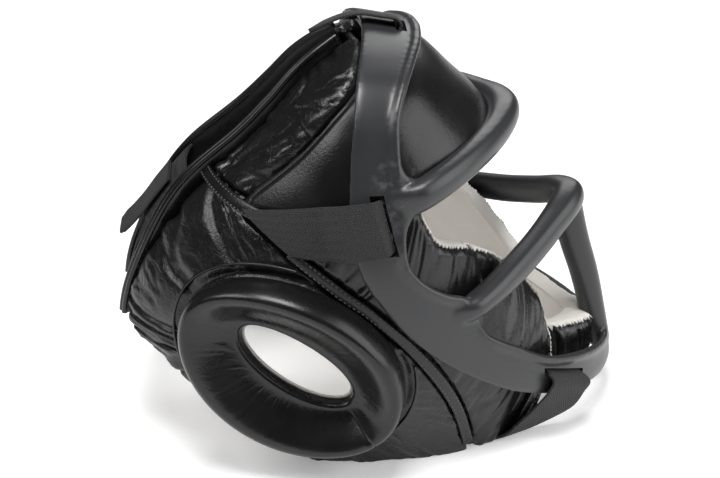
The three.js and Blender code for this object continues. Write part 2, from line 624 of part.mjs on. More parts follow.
// The slots that the straps come out of
function templeSlot() {
  const face = (lift) => (u, v) => {
    const z = THREE.MathUtils.lerp(TEMPLE_SLOT.highZ, TEMPLE_SLOT.lowZ, u);
    const middle = THREE.MathUtils.lerp(TEMPLE_SLOT.highY, TEMPLE_SLOT.lowY, u);
    const y = THREE.MathUtils.lerp(middle - TEMPLE_SLOT.before, middle + TEMPLE_SLOT.behind, v);
    return lifted(SHELL, angleAt(SHELL, y, z), z, lift);
  };
  return wall(2, 1, face(3 * MASK_THICK), face(-MASK_THICK));
}

function jawSlot() {
  const face = (lift) => (u, v) => {
    const angle = THREE.MathUtils.lerp(JAW_SLOT.frontAngle, JAW_SLOT.rearAngle, u);
    const z = THREE.MathUtils.lerp(JAW_SLOT.frontZ, JAW_SLOT.rearZ, u) + JAW_SLOT.half * (2 * v - 1);
    return lifted(MASK, angle, z, lift);
  };
  return wall(2, 1, face(2 * MASK_THICK), face(-2 * MASK_THICK));
}

function topSlot() {
  const face = (z) => (u, v) => {
    const x = THREE.MathUtils.lerp(-TOP_SLOT.half, TOP_SLOT.half, u);
    return new THREE.Vector3(x, THREE.MathUtils.lerp(TOP_SLOT.frontY, TOP_SLOT.rearY, v), z);
  };
  return wall(1, 1, face(TOP_SLOT.high), face(TOP_SLOT.low));
}

function mask() {
  let body = toManifold(plate());
  const bars = [crossBar(BROW_BAR, 20), crossBar(NOSE_BAR, 20), chinBar(6)];
  for (const piece of [ribbon(archPoint, 26, 2, MASK_THICK), ...bars]) {
    body = body.add(toManifold(piece));
  }
  body = body.subtract(toManifold(topSlot()));
  for (const slot of [templeSlot(), jawSlot()]) {
    body = body.subtract(toManifold(slot));
    const mirrored = slot.clone().scale(-1, 1, 1);
    mirrored.setIndex(Array.from(mirrored.index.array).reverse());
    body = body.subtract(toManifold(mirrored));
  }
  return fromManifold(body);
}
add('face_mask', mask(), 'plastic');

// Temple straps, over the plate's rear edge and down onto the leather
function templeStrap() {
  const face = (extra) => (u, v) => {
    const y = THREE.MathUtils.lerp(rowAt(TEMPLE_STRAP, 'highY', u), rowAt(TEMPLE_STRAP, 'lowY', u), v);
    const z = THREE.MathUtils.lerp(rowAt(TEMPLE_STRAP, 'highZ', u), rowAt(TEMPLE_STRAP, 'lowZ', u), v);
    const out = THREE.MathUtils.smoothstep(u, 0, STRAP_RISE);
    const plateEnd = THREE.MathUtils.lerp(STRAP_OFF_HIGH, STRAP_OFF_LOW, v);
    const down = THREE.MathUtils.smoothstep(y, plateEnd, plateEnd + STRAP_STEP);
    const onPlate = THREE.MathUtils.lerp(STRAP_IN_SLOT, STRAP_ON_PLATE, out);
    const lift = THREE.MathUtils.lerp(onPlate, STRAP_ON_PAD, down);
    return lifted(SHELL, angleAt(SHELL, y, z), z, lift + extra);
  };
  return wall(14, 2, face(WEBBING_THICK), face(0));
}
addPair('temple_strap', templeStrap(), 'webbing');

// A strap of webbing along points, with a fixed direction across it
function webbing(points, across, width, steps, tip) {
  const curve = new THREE.CatmullRomCurve3(points);
  const stations = [];
  for (let i = 0; i <= steps; i += 1) {
    const t = i / steps;
    const tangent = curve.getTangentAt(t);
    const through = across.clone().cross(tangent).setLength(WEBBING_THICK / 2);
    const half = (width / 2) * (t === 1 ? tip : 1);
    stations.push({ middle: curve.getPointAt(t), across: across.clone().setLength(half), through });
  }
  return sweep(stations, 4, 0);
}

// Jaw straps
const jawPoint = (u, v) => betweenEdges(JAW_STRAP, u, v);
addPair('jaw_strap', ribbon(jawPoint, 14, 1, WEBBING_THICK), 'webbing');

// Top strap with a pointed end
const sideways = new THREE.Vector3(1, 0, 0);
const topLine = TOP_STRAP.map((p) => new THREE.Vector3(...p));
const leaning = sideways.clone().applyAxisAngle(new THREE.Vector3(0, 1, 0), rad(TOP_STRAP_LEAN));
add('top_strap', webbing(topLine, leaning, TOP_STRAP_WIDTH, 16, TOP_TIP), 'webbing');

// Straps across the back slit
function backStrap({ low, high, lift }) {
  const half = 180 - bindingEnd - BINDING_GAP;
  const face = (level) => (u, v) => {
    const angle = THREE.MathUtils.lerp(180 - half, 180 + half, u);
    return lifted(SHELL, angle, THREE.MathUtils.lerp(low, high, v), level);
  };
  return wall(8, 2, face(lift), face(lift - WEBBING_THICK));
}
add('upper_back_strap', backStrap(UPPER_BACK), 'webbing');
add('lower_back_strap', backStrap(LOWER_BACK), 'webbing');
const tabLine = BACK_TAB.map(({ z, lift }) => lifted(SHELL, 180, z, lift));
add('back_tab', webbing(tabLine, sideways, WEBBING_WIDTH, 8, TAB_TIP), 'webbing');

export default headgear;
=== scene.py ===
from math import radians

import bpy
import numpy as np
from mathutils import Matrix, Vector


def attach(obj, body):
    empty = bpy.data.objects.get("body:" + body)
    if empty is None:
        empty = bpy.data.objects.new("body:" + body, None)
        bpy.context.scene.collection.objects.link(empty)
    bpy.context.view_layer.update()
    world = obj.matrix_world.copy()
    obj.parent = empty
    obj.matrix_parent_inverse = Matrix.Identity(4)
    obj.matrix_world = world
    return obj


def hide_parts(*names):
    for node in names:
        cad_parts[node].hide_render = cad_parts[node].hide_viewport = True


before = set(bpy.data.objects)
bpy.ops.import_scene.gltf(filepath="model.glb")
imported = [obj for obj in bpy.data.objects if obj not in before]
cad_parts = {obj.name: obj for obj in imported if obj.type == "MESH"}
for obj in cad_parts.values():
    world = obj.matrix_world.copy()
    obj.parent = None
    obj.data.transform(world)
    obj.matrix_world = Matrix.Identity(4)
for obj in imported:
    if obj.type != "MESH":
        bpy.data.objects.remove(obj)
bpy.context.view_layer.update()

bl_info = {
    "name": "Sparring headgear",
    "version": (1, 0, 0),
    "blender": (4, 5, 0),
    "location": "3D View > Sidebar > Headgear",
    "description": "Builds a padded leather sparring headgear with a moulded face mask",
    "category": "Mesh",
}


def table(names, *rows):
    """The columns of a short table of sizes, by name."""
    return dict(zip(names.split(), np.array(rows, float).T))


def named(names, **rows):
    """The rows of a short table by name, each with its columns by name."""
    return {key: dict(zip(names.split(), values)) for key, values in rows.items()}


# Millimetres and degrees, +Z up, the face towards -Y, the wearer's left towards +X. The tables are
# those of the part's source, but for the mask's bars, mouth corner and chin, which are set finer.
MM = 0.001
MIDDLE_Y = -5.1
SIDES = ((1, "left"), (-1, "right"))

# The forms of the leather and of the mask, by level
SHELL = table(
    "z width front taper back",
    (-4, 84, 119, 0.46, 120), (30, 93, 131, 0.72, 138), (60, 97, 131, 0.85, 146),
    (90, 98, 113, 1.02, 141), (120, 96, 98, 0.98, 125), (150, 91, 83, 0.70, 101),
    (175, 83, 69, 0.53, 70), (192, 75, 56.5, 0.5, 52), (205, 66, 45.5, 0.5, 39.5),
    (213.5, 54, 37, 0.5, 29), (219.5, 40, 29, 0.5, 19), (223, 28, 20, 0.5, 12),
    (225.5, 14, 9, 0.5, 6),
)
MASK = table(
    "z width front taper back",
    (0, 85, 130, 0.60, 122), (14, 90, 145, 0.62, 130), (30, 95.5, 149.5, 0.66, 141),
    (45, 98.5, 148.5, 0.70, 146), (60, 100.2, 144, 0.78, 149), (90, 101.2, 128, 0.90, 144),
    (120, 99.2, 106, 0.88, 128), (150, 94.3, 85, 0.66, 104), (175, 86.2, 67, 0.53, 73),
)
NEAR = 0.5

# Leather panels and linings
PAD, LINING, GAP, SEAM_GAP = 15.0, 1.6, 0.4, 1.8
THINNED = named(
    "by power", forehead=(0.0, 1), crown=(0.0, 1), cheek=(5.0, 6), chin=(6.0, 3), ear=(10.0, 2))
GRIDS = named(
    "pad lining turned",
    forehead=((280, 52), (120, 16), None), crown=((120, 78), (40, 20), None),
    cheek=((215, 78), (140, 20), (560, 100)), chin=((130, 46), (65, 20), (260, 100)),
)
SEEDS = {"forehead": 11, "chin": 71, "crown": 100, "ear": 200, "cheek": 300, "ring": 400}
FOREHEAD = table(
    "low_angle low_z high_angle high_z",
    (0, 176, 0, 225), (32, 180, 45, 225), (60, 174, 82, 224.4), (84, 159, 100, 215.5),
    (102, 153.5, 117, 201.8), (116, 150.5, 128, 180), (131, 149.7, 135, 160),
)
CROWN = table("rim_angle rim_z", (158, 225), (162, 212), (162, 197), (162, 176), (162, 157.5))
CROWN_START, CROWN_TAIL, CROWN_DROP, SEAM_ANGLE = 0.31, 0.82, 7.5, 1.3
CROWN_SEAM_DEEP, CROWN_SEAM_HALF, CROWN_SEAM_THICK = -8.0, 2.8, 3.0
CROWN_SEAM_STEPS, TAIL_STEPS = 60, 8
EAR_PANEL = table(
    "y z",
    (70.5, 149), (80, 152), (89, 155), (108, 134), (123.5, 112), (132, 95), (137, 79), (136, 67),
    (121, 57), (100, 41), (76, 27), (48, 11), (28, -8), (0, -8), (-30, -8), (-53, -8), (-53.5, 7),
    (-45, 33), (-35, 53), (-22, 73), (-9, 87), (8, 103), (19, 111), (48, 134), (70.5, 149),
)
CHEEK = table(
    "seam_y seam_z rim_y rim_z",
    (68, 147.2, 60, 148.4), (46, 132, 26, 151.3), (30, 119.5, -4, 156.6), (17, 109, -24, 155),
    (6, 101, -29, 146), (-6, 90, -38, 132), (-17, 78.5, -60, 120), (-28, 64, -84, 99),
    (-38, 48, -102, 73), (-47, 28, -109, 36), (-55.5, -4, -97, 2.5),
)
CHIN = table("angle z dip", (33.7, 17, 0), (33.3, 30, 2), (33.9, 46, 7), (35.7, 59, 12))

# The lining's edge, turned over the rim: a zigzag, its reach, and where its strip lies
TOOTH, EDGE_REACH, EDGE_TOOTH = 2.8, 4.6, 2.6
EDGE_LIFT, EDGE_HALF, EDGE_AHEAD = 0.5, 0.35, 0.8
EDGE_SHARES = np.array([0.12, 0.25, 0.4, 0.55, 0.7, 0.85, 1.0])

# Relief of the leather: rounded edges, folds and gathers, whose seeds count from the piece's own
PAD_EDGES = named(
    "low low_ledge high start end end_ledge most",
    forehead=(4.5, 0, 11, 3, 3, 0, 12), crown=(8, 0, 3.5, 3, 3, 3, 9),
    cheek=(3.5, 3.2, 8, 2, 4, 0, 9), chin=(5, 0, 7, 3, 3, 0, 8),
)
FOLDS = named(
    "spacing length sharp depth seed",
    forehead_crease=(4, 9, 0.3, 0.1, 0), crown_loose=(11, 30, 0.4, 1.5, 0),
    crown_small=(4.5, 14, 0.3, 0.35, 20), cheek_long=(15, 60, 0.3, 0.8, 40),
    ear_loose=(12, 60, 0.36, 1.0, 0), ear_small=(6, 22, 0.3, 0.5, 20),
    ring_inner=(2.8, 30, 0.5, 0.55, 0), ring_flank=(3.6, 30, 0.5, 0.1, 20),
)
GATHERS = named(
    "spacing reach depth seed",
    crown_drawn=(6.5, 30, 3.0, 40), crown_rim=(5, 9, 0.8, 50), cheek_seam=(4.6, 13, 1.5, 0),
    cheek_rim=(4.4, 20, 2.6, 20), chin_rim=(5, 14, 1.6, 0), ear_drawn=(5, 11, 1.2, 40),
)
LATTICE, WANDER, WANDER_LONG, WANDER_WIDE, NOISE_SHIFT = 64, 0.9, 2.5, 0.6, 7.3
GATHER_SHARP, GATHER_LONG, GATHER_EVEN, GATHER_SPAN, GATHER_FADE = 0.42, 3, 0.65, 4, 1.5
SEAM_CLEAR = 4.0
CROWN_SLANT, CROWN_TURN = 0.6, 0.5
SLACK_LONG, SLACK_WIDE, SLACK_DEEP = 34, 26, 0.15

# Humps, by height, place and spread, and steps, by start and end
FOREHEAD_HANG = (6.0, 0.25, 0.18)
FOREHEAD_FULL, FULL_UP = (3.5, 0.0, 0.22), (1.0, 8.0, 16.0)
CREASE_AT, CREASE_START, CREASE_END = (1.0, 0.36, 0.12), (0, 6), (14, 34)
CHIN_FULL = (8.0, 0.0, 0.7)
RING_CHANNEL, RING_RIDGE = (-2.4, 1.5, 2.6), (0.5, 6.5, 1.6)
RING_CLEAR, RING_UNDER = (1, 8), (0, 4)
RING_SEAM, RING_SEAM_START = (-1.2, 3.88, 0.014), (0.02, 0.1)
RING_INNER, RING_FLANK, PUCKER_START = (1.0, 0.0, 0.3), (1.0, 0.5, 0.25), (0, 4)
MOUTH_CUT = (0.25, 0.56, 0.07)

# The ear: ovals by long and short half and tilt; places along the panel's outline, by its rows
EAR_Y, EAR_Z = 43.0, 67.0
EAR_OUTLINE, EAR_HOLE = (62.0, 47.0, 30.0), (36.0, 15.5, 34.0)
EAR_SPANS = len(EAR_PANEL["y"]) - 1
EAR_GRID, EAR_LINING_GRID, EAR_LINING_IN = (13 * EAR_SPANS, 54), (6 * EAR_SPANS, 14), 2
SEAM_AT, JAW_START, JAW_END = (15.6, 16.2), (8, 10), (14.5, 16)
FRONT_START, FRONT_END = (10, 14), (20, 24)
EAR_ROUND, SEAM_LEDGE, JAW_ROUND, EAR_BED, HOLE_FADE = 3.5, 3.2, 6, -0.6, (-0.01, 0.02)
RING_GRID, RING_BACK_STEPS = (360, 46), 9
RING_HEIGHT, RING_BED, RING_CREST, RING_FULL = 17.0, 0.8, 2.2, 0.75
RING_AROUND, RING_ACROSS, RING_APART, RING_SUNK = 60, 40, 1.0, 0.3
RING_SKIRT = table("apart lift", (-1.0, -5.2), (-1.0, -3.5), (-0.8, -1.6), (-0.1, -0.2))
RING_BEHIND = table("apart lift", (-0.3, -0.9), (-0.45, -5.2))
WELT_APART, WELT_MARGIN, WELT_RADIUS, WELT_LIFT = 6.5, 5.0, 0.9, 0.1
WELT_STEPS, WELT_SHORTEST, OUTLINE_STEPS = 240, 8, 600

# Bound edges, strips and stitches
RIM_ANGLE, RIM_PROUD = 162.0, 5.0
RIM_TOP, RIM_BOTTOM, RIM_FLUSH, RIM_RISEN = 221.5, 70.0, 95.0, 150.0
BINDING_ANGLE, BINDING_GAP, BINDING_GROOVE = 4.0, 0.35, 1.5
BINDING_OVAL, BINDING_STEPS = (40, 0.55, 0.55), 150
PIPE_RADIUS, PIPE_APART, PIPE_SIDES = 1.7, 0.62, 14
BRIDGE = table(
    "y z", (56, 147.4), (64, 149), (70, 150.6), (76, 152.4), (83, 154.6), (90, 156.8))
STRIP_LIFT, STRIP_THICK, STRIP_BOW = -1.1, 1.6, 0.35
SEAM_HALF, SEAM_STEPS, SEAM_UP, SEAM_END = 3.1, 160, 0.3, 4.0
BRIDGE_HALF, BRIDGE_STEPS = 3.6, 60
STITCHES = named("pitch length radius", rim=(3.4, 2.5, 0.42), strip=(2.9, 2.1, 0.36))
STITCH_SIDES, STITCH_DEPTH, STITCH_BOW, STITCH_TIP = 6, 0.12, 0.5, 0.12
STITCH_APART, STITCH_LIFT = 0.66, 0.95
RIM_STITCH_IN, RIM_STITCH_STEPS = 3, 200

# The mask
PLATE = table(
    "front_angle front_z rear_angle rear_z",
    (80, 152, 99, 162), (81.5, 138, 96.5, 140), (81, 127, 93.5, 122), (77, 116, 89, 106),
    (71, 107, 84, 91), (65, 101, 79, 78), (61, 87, 73, 64), (57, 68.5, 65, 49), (49, 53, 56, 36),
    (35, 43.5, 42, 24), (18, 36.5, 20, 16), (0, 35, 0, 14),
)
ARCH = table(
    "rear_x rear_y rear_z front_x front_y front_z",
    (93.3, 14, 158, 93, -14, 148), (84.5, 13, 180, 82, -12, 180), (77, 11, 198.5, 74, -12, 198),
    (64, 9, 213.5, 60, -17, 211), (45, 6, 222, 40, -23, 218), (22, 3, 227.3, 20, -28, 222),
    (0, 2, 229.3, 0, -30, 223.5),
)
BROW_BAR = (
    (93.2, -3, 156), (91, -16, 161), (84, -29.5, 166), (71, -43, 169.5), (51.5, -58, 173),
    (31, -70, 175.5), (14, -77.5, 178), (0, -80, 178.5),
)
NOSE_BAR = (
    (95, -34, 89), (89, -48.1, 93.3), (76.5, -62.8, 98.3), (60.5, -76.8, 103.4),
    (42.5, -91.3, 108.9), (24.5, -105.7, 115.8), (11, -116.6, 121.8), (0, -120.5, 123.5),
)
BARS = named("half flare", brow=(BROW_BAR, 1.15), nose=(NOSE_BAR, 0.72))
BAR_WIDTH, BAR_DEPTH, BAR_STEPS, BAR_OVAL = 16.6, 15.0, 140, (28, 0.85, 0.85)
BAR_SPREAD, BAR_FORWARD, BAR_UP = 0.6, -60.0, 12.0
FLARE_START, TAPER_START, FLARE_END = 0.82, 0.25, 0.97
TIP_FULL, TIP_SPAN, BAR_TIP, TIP_ROUND = 0.25, 0.2, 0.93, 0.9
ROOT_DEPTH, ROOT_SUNK = 2.6, 1.4
CHIN_BAR = ((0, -117, 120), (0, -123.5, 96), (0, -131.5, 71.5), (0, -138, 46), (0, -142.5, 27))
CHIN_BAR_DEPTH, CHIN_BAR_STEPS = (19.0, 14.5), 60
CHIN_BACK, CHIN_SPREAD, CHIN_RISE = 4.0, 28.0, (18.0, 34.0)
MASK_THICK, MASK_OVERLAP = 4.0, 0.1
PLATE_GRID, PLATE_THIN, ARCH_GRID, ARCH_THIN = (300, 26), (0.3, 4), (260, 24), (0.25, 6)
ARCH_NEAR, ARCH_CENTRE = 0.004, (0, 0, 150.0)
LIP_LIFT, LIP_INSET, LIP_RADIUS, LIP_SIDES, LIP_FADE = 1.9, 0.06, 2.8, 14, 0.4
PLATE_LIPS, PLATE_LIP_STEPS = ((0.09, 0.43, 0.09), (0.53, 1.0, 0.6)), 120
ARCH_LIP = (0.05, 0.95, 200)
WEB_ROOT, WEB_STEPS, WEB_ROWS, WEB_FILL = 4.0, 40, 14, 0.97
BROW_WEB, TEMPLE_WEB, CHEEK_WEB, EDGE_STEPS = (22, 24), (14, 16), (9, 12), (400, 300)
TEMPLE_SLOT = table("y z", (-2.5, 164.0), (-9.0, 133.5))
TEMPLE_SLOT_WIDE, TEMPLE_SLOT_DEEP = (-1.2, 6), (12, -4)
JAW_SLOT = table("angle z low high", (34.8, 32.5, -2.8, 0.9), (49.8, 45.0, -2.8, 2.2))
JAW_SLOT_DEEP = (8, -8)
TOP_SLOT = table("x y z", (-9.5, -23.0, 215.0), (9.5, -17.0, 240.0))
SOFTEN_SHARE, MASK_CORNER, PIECE_CORNER = 0.5, 50, 60

# Straps
WEBBING_THICK, WEBBING_WIDTH, RIBBON_OVAL = 2.0, 30.0, (32, 0.35, 0.7)
TEMPLE_STRAP = table(
    "high_y high_z low_y low_z",
    (-2.5, 162, -9, 135.5), (22, 158.5, 9.5, 132.5), (46, 154, 28, 130.5), (68, 149.6, 44, 131.5),
)
STRAP_IN_SLOT, STRAP_ON_PLATE, STRAP_ON_PAD, SLOT_OUT = 2.0, 7.4, 0.5, (0, 0.08)
STRAP_OFF_HIGH, STRAP_OFF_LOW, STRAP_STEP = 18.0, 15.0, 12.0
JAW_STRAP = table(
    "rear_x rear_y rear_z front_x front_y front_z",
    (64.5, -97, 44.5, 46, -120, 33), (72.5, -101.5, 41, 53, -126.5, 29),
    (72, -99, 33, 53, -123.5, 22), (71, -92, 23, 53, -118, 13), (69.5, -83, 12, 53, -107.5, 6),
    (69, -76, 4.5, 57.5, -92, 1.8), (67.5, -71, 1.5, 62, -79, 1.4),
)
TEMPLE_STRAP_GRID, JAW_STRAP_GRID, BACK_STRAP_GRID, JAW_NEAR = (90, 30), (90, 24), (50, 30), 0.01
TEMPLE_STRAP_EDGE, STRAP_EDGE = (0.35, 8), (0.3, 8)
TOP_STRAP = (
    (0, -19.4, 224), (0, -20, 227.5), (0, -17.2, 230.9), (0, -9, 232.6), (0, 2, 234.3),
    (0, 11, 233), (0, 20, 229.7), (0, 26, 226.7), (0, 30, 224.6),
)
TOP_STRAP_WIDTH, TOP_STRAP_LEAN, TOP_STRAP_STEPS, TOP_STRAP_END = 16.0, 12.0, 90, (0.25, 0.82)
BACK_TAB = table("z lift", (143, 3), (133, 3), (124, 3.2), (116, 4.5), (108, 7))
BACK_TAB_STEPS, BACK_TAB_END = 60, (0.75, 0.9)
UPPER_BACK, LOWER_BACK = (121.0, 151.0, 1.5), (77.0, 97.0, -6.0)

# Finishes: sizes per metre, depths in metres
SLOTS = {
    "creased_leather": "leather", "gathered_leather": "leather", "smooth_leather": "leather",
    "ring_leather": "leather", "waxed_thread": "leather", "suede_lining": "suede",
    "satin_plastic": "mask_plastic", "woven_webbing": "webbing", "back_webbing": "webbing",
}
LEATHERS = named(
    "grain creases rough",
    creased_leather=(0.45, 0.26, 0.28), gathered_leather=(0.4, 0.14, 0.25),
    smooth_leather=(0.5, 0.05, 0.28), ring_leather=(0.4, 0.06, 0.27),
)
VARIATION = named(
    "Grain Mottle Rub",
    leather=(1100.0, 45.0, 26.0), suede=(2600.0, 70.0, 60.0), plastic=(3200.0, 90.0, 130.0),
    thread=(2500.0, 30.0, 60.0),
)
BUMPS = named(
    "depth strength",
    suede=(0.00015, 0.5), plastic=(0.00006, 0.35), webbing=(0.0006, 0.9), thread=(0.0002, 0.6),
)
GRAIN_DEPTH, CREASE_DEPTH, CREASE_WIDTH = 0.00012, 0.0006, 0.05
CREASE_NETS = ((75.0, 0.65), (200.0, 0.35))
LEATHER_UNEVEN, LEATHER_GLOSS = 0.28, 0.13
SCUFF_Y, SCUFF_Z, SCUFF_ACROSS, SCUFF_UP, SCUFF_ROUGH = -0.004, 0.162, 70.0, 38.0, 0.2
SATIN_UNEVEN, SATIN_ROUGH, THREAD_UNEVEN, THREAD_ROUGH = 0.12, 0.28, 0.2, 0.35
RIB_PITCH, RIB_ZIGZAG, RIB_LEAN, RIB_SHARE = 0.0016, 0.0055, 1.0, 0.4
CORDS_PER_ZIGZAG, CORD_SHARE, RIB_MIDDLE = 4, 0.12, 0.5

# The stage, in metres
CAMERA_AT, TARGET, LENS, SENSOR = (-0.8104, 0.0638, 0.4855), (0, 0.0071, 0.098), 77.4, 36.0
LAMPS = named(
    "place size power",
    top_softbox=((-0.28, 0.12, 1.3), 0.55, 14.0), front_softbox=((-0.4, -1.15, 0.7), 1.2, 13.0),
    rear_softbox=((-0.3, 0.9, 1.1), 0.6, 7.0), far_softbox=((1.1, -0.3, 0.9), 0.8, 5.0),
)
WHITE, SKY_STRENGTH, FLOOR_ROUGH, FLOOR_GLOW = (1, 1, 1, 1), 0.06, 0.9, 0.25


# Shapes of the whole form

def column(rows, key, along, at):
    """A cubic through the table's points, each slope taken between the neighbours, held beyond the ends."""
    x, y = rows[along], rows[key]
    at = np.clip(at, x[0], x[-1])
    i = np.clip(np.searchsorted(x, at) - 1, 0, len(x) - 2)
    slope = np.empty(len(y))
    slope[1:-1] = (y[2:] - y[:-2]) / (x[2:] - x[:-2])
    slope[0], slope[-1] = (y[1] - y[0]) / (x[1] - x[0]), (y[-1] - y[-2]) / (x[-1] - x[-2])
    span = x[i + 1] - x[i]
    t = (at - x[i]) / span
    blend = t * t * (3 - 2 * t)
    rise = t * (1 - t) ** 2 * slope[i] - t * t * (1 - t) * slope[i + 1]
    return y[i] * (1 - blend) + y[i + 1] * blend + span * rise


def row(rows, key, t):
    """The same cubic, with the rows evenly spaced from 0 to 1."""
    return column({"place": np.linspace(0, 1, len(rows[key])), key: rows[key]}, key, "place", t)


def between(rows, first, second, t, share):
    """A share of the way from one column to another, at a place along the table."""
    return mix(row(rows, first, t), row(rows, second, t), share)


def mix(a, b, t):
    """A straight blend from a to b."""
    return a + (b - a) * t


def step(x, low, high):
    """0 below low and 1 above high, with a smooth cubic between."""
    t = np.clip((x - low) / (high - low), 0, 1)
    return t * t * (3 - 2 * t)


def bell(x):
    """A smooth hump: e to the minus square."""
    return np.exp(-x * x)


def hump(x, height, place, spread):
    """A bell of some height about a place."""
    return height * bell((x - place) / spread)


def to_edges(v, by, power):
    """How much a sheet thins towards its two edges: a power of the distance from its middle."""
    return by * np.abs(2 * v - 1) ** power


def unit(v):
    """Vectors divided by their lengths."""
    return v / (np.linalg.norm(v, axis=-1, keepdims=True) + 1e-12)


def on_form(form, angle, z):
    """A point by its angle from the front and its level: an ellipse behind, a tapering front before."""
    angle, z = np.broadcast_arrays(np.asarray(angle, float), np.asarray(z, float))
    c, s = np.cos(np.radians(angle)), np.sin(np.radians(np.abs(angle)))
    front = c >= 0
    spread = np.where(front, np.abs(s) ** (2 * column(form, "taper", "z", z)), s)
    reach = np.where(front, column(form, "front", "z", z), column(form, "back", "z", z))
    return np.stack([np.sign(angle) * column(form, "width", "z", z) * spread, -c * reach, z], -1)


def form_normal(form, angle, z):
    """The outward normal: the cross product of short steps around and up."""
    angle, z = np.broadcast_arrays(np.asarray(angle, float), np.asarray(z, float))
    around = on_form(form, angle + NEAR, z) - on_form(form, angle - NEAR, z)
    up = on_form(form, angle, z + NEAR) - on_form(form, angle, z - NEAR)
    return unit(np.cross(around, up))


def lifted(form, angle, z, lift):
    """A point lifted off the form along its outward normal."""
    return on_form(form, angle, z) + form_normal(form, angle, z) * np.asarray(lift, float)[..., None]


def on_shell(angle, z, lift):
    """A point lifted off the leather's form, which gives way where it rests on the table."""
    points = lifted(SHELL, angle, z, lift)
    return np.concatenate([points[..., :2], np.maximum(points[..., 2:], 0)], -1)


def angle_at(form, y, z):
    """The angle at which the form passes a place in the side view: the arc cosine of y over the reach."""
    reach = np.where(y < 0, column(form, "front", "z", z), column(form, "back", "z", z))
    return np.degrees(np.arccos(np.clip(-y / reach, -1, 1)))


def grid(nu, nv, ring=False):
    """Two parameters from 0 to 1 on a grid; the first stops a step short where it closes to a ring."""
    u = np.linspace(0, 1, nu, endpoint=not ring)
    return np.meshgrid(u, np.linspace(0, 1, nv), indexing="ij")


def arc(points, axis=0):
    """The length run along a line, or along one axis of a grid of points, from 0."""
    steps = np.linalg.norm(np.diff(points, axis=axis), axis=-1)
    zero = np.zeros_like(np.take(steps, [0], axis))
    return np.concatenate([zero, np.cumsum(steps, axis)], axis)


def at_run(values, run, at):
    """Points or directions at some lengths of a run, straight between the known ones."""
    return np.stack([np.interp(at, run, values[:, k]) for k in range(3)], -1)


def curve(points, count):
    """A smooth line through points, cubic in chord length, resampled at even steps of its own length."""
    points = np.array(points, float)
    chord = arc(points)
    at = np.linspace(0, chord[-1], 20 * count)
    rows = dict(enumerate(points.T), chord=chord)
    dense = np.stack([column(rows, k, "chord", at) for k in range(3)], -1)
    run = arc(dense)
    return at_run(dense, run, np.linspace(0, run[-1], count))


def ahead(line):
    """The direction of a line at each of its points."""
    return unit(np.gradient(line, axis=0))


# Creases and gathers of the leather

def noise(x, y, seed):
    """Random heights from -1 to 1 on a square lattice, blended between the corners with a quintic step."""
    heights = np.random.default_rng(seed).uniform(-1, 1, (LATTICE, LATTICE))
    i, j = np.floor(x).astype(int), np.floor(y).astype(int)
    fx, fy = x - i, y - j
    fx, fy = fx ** 3 * (fx * (6 * fx - 15) + 10), fy ** 3 * (fy * (6 * fy - 15) + 10)
    i, j, i1, j1 = i % LATTICE, j % LATTICE, (i + 1) % LATTICE, (j + 1) % LATTICE
    low = mix(heights[i, j], heights[i1, j], fx)
    return mix(low, mix(heights[i, j1], heights[i1, j1], fx), fy)


def valleys(along, across, spacing, length, sharp, seed):
    """Soft ridges between sharp valleys that run across: minus a bell of wandering noise, from -1 to 0."""
    wander = noise(along / (WANDER_LONG * spacing), across / (WANDER_WIDE * length), seed + 1)
    height = noise(along / spacing + WANDER * wander, across / length + NOISE_SHIFT, seed)
    return -bell(height / sharp)


def folds(kind, along, across, seed):
    """Valleys of one kind, times its depth."""
    size = FOLDS[kind]
    seed += size["seed"]
    return size["depth"] * valleys(along, across, size["spacing"], size["length"], size["sharp"], seed)


def gathers(kind, along, away, seed):
    """Puckers in from a sewn edge: valleys whose depth varies along it and falls with the distance."""
    spacing, reach, depth, offset = GATHERS[kind].values()
    seed += offset
    vary = noise(along / (GATHER_SPAN * spacing), 0 * along, seed + 5)
    strength = GATHER_EVEN + (1 - GATHER_EVEN) * vary
    shape = valleys(along, away, spacing, GATHER_LONG * reach, GATHER_SHARP, seed)
    return depth * shape * np.exp(-(away / reach) ** GATHER_FADE) * strength


def rounded(away, radius, ledge=0.0):
    """How far a padded edge falls: a quarter circle of that radius, inside a flat ledge for a strip."""
    inside = np.clip((away - ledge) / radius, 0, 1)
    return -radius * (1 - np.sqrt(np.clip(1 - (1 - inside) ** 2, 0, 1)))


def soft_edges(kind, p):
    """How far a pad's face falls towards its four edges: the sum of their roundings, down to a floor."""
    size = PAD_EDGES[kind]
    fall = rounded(p["across"], size["low"], size["low_ledge"]) + rounded(p["to_high"], size["high"])
    fall += rounded(p["along"], size["start"]) + rounded(p["to_end"], size["end"], size["end_ledge"])
    return np.maximum(fall, -size["most"])


# Meshes: a shape is its points, its faces in blocks of equally many corners, and its UV or none

def quads(index):
    """The four-sided faces of a grid of vertex numbers."""
    corners = [index[:-1, :-1], index[1:, :-1], index[1:, 1:], index[:-1, 1:]]
    return np.stack(corners, -1).reshape(-1, 4)


def wall(outer, inner, ring=False, uv=None):
    """A closed wall between two faces on one grid: both faces, and strips that join their edges."""
    index = np.arange(2 * outer.shape[0] * outer.shape[1]).reshape(2, *outer.shape[:2])
    if ring:
        index = np.concatenate([index, index[:, :1]], 1)
    o, i = index
    faces = [quads(o), quads(i)[:, ::-1]]
    faces += [quads(np.stack([i[:, 0], o[:, 0]], 1)), quads(np.stack([o[:, -1], i[:, -1]], 1))]
    if not ring:
        faces += [quads(np.stack([o[0], i[0]], 1)), quads(np.stack([i[-1], o[-1]], 1))]
    points = np.concatenate([outer.reshape(-1, 3), inner.reshape(-1, 3)])
    return points, [np.concatenate(faces)], None if uv is None else np.concatenate([uv, uv])


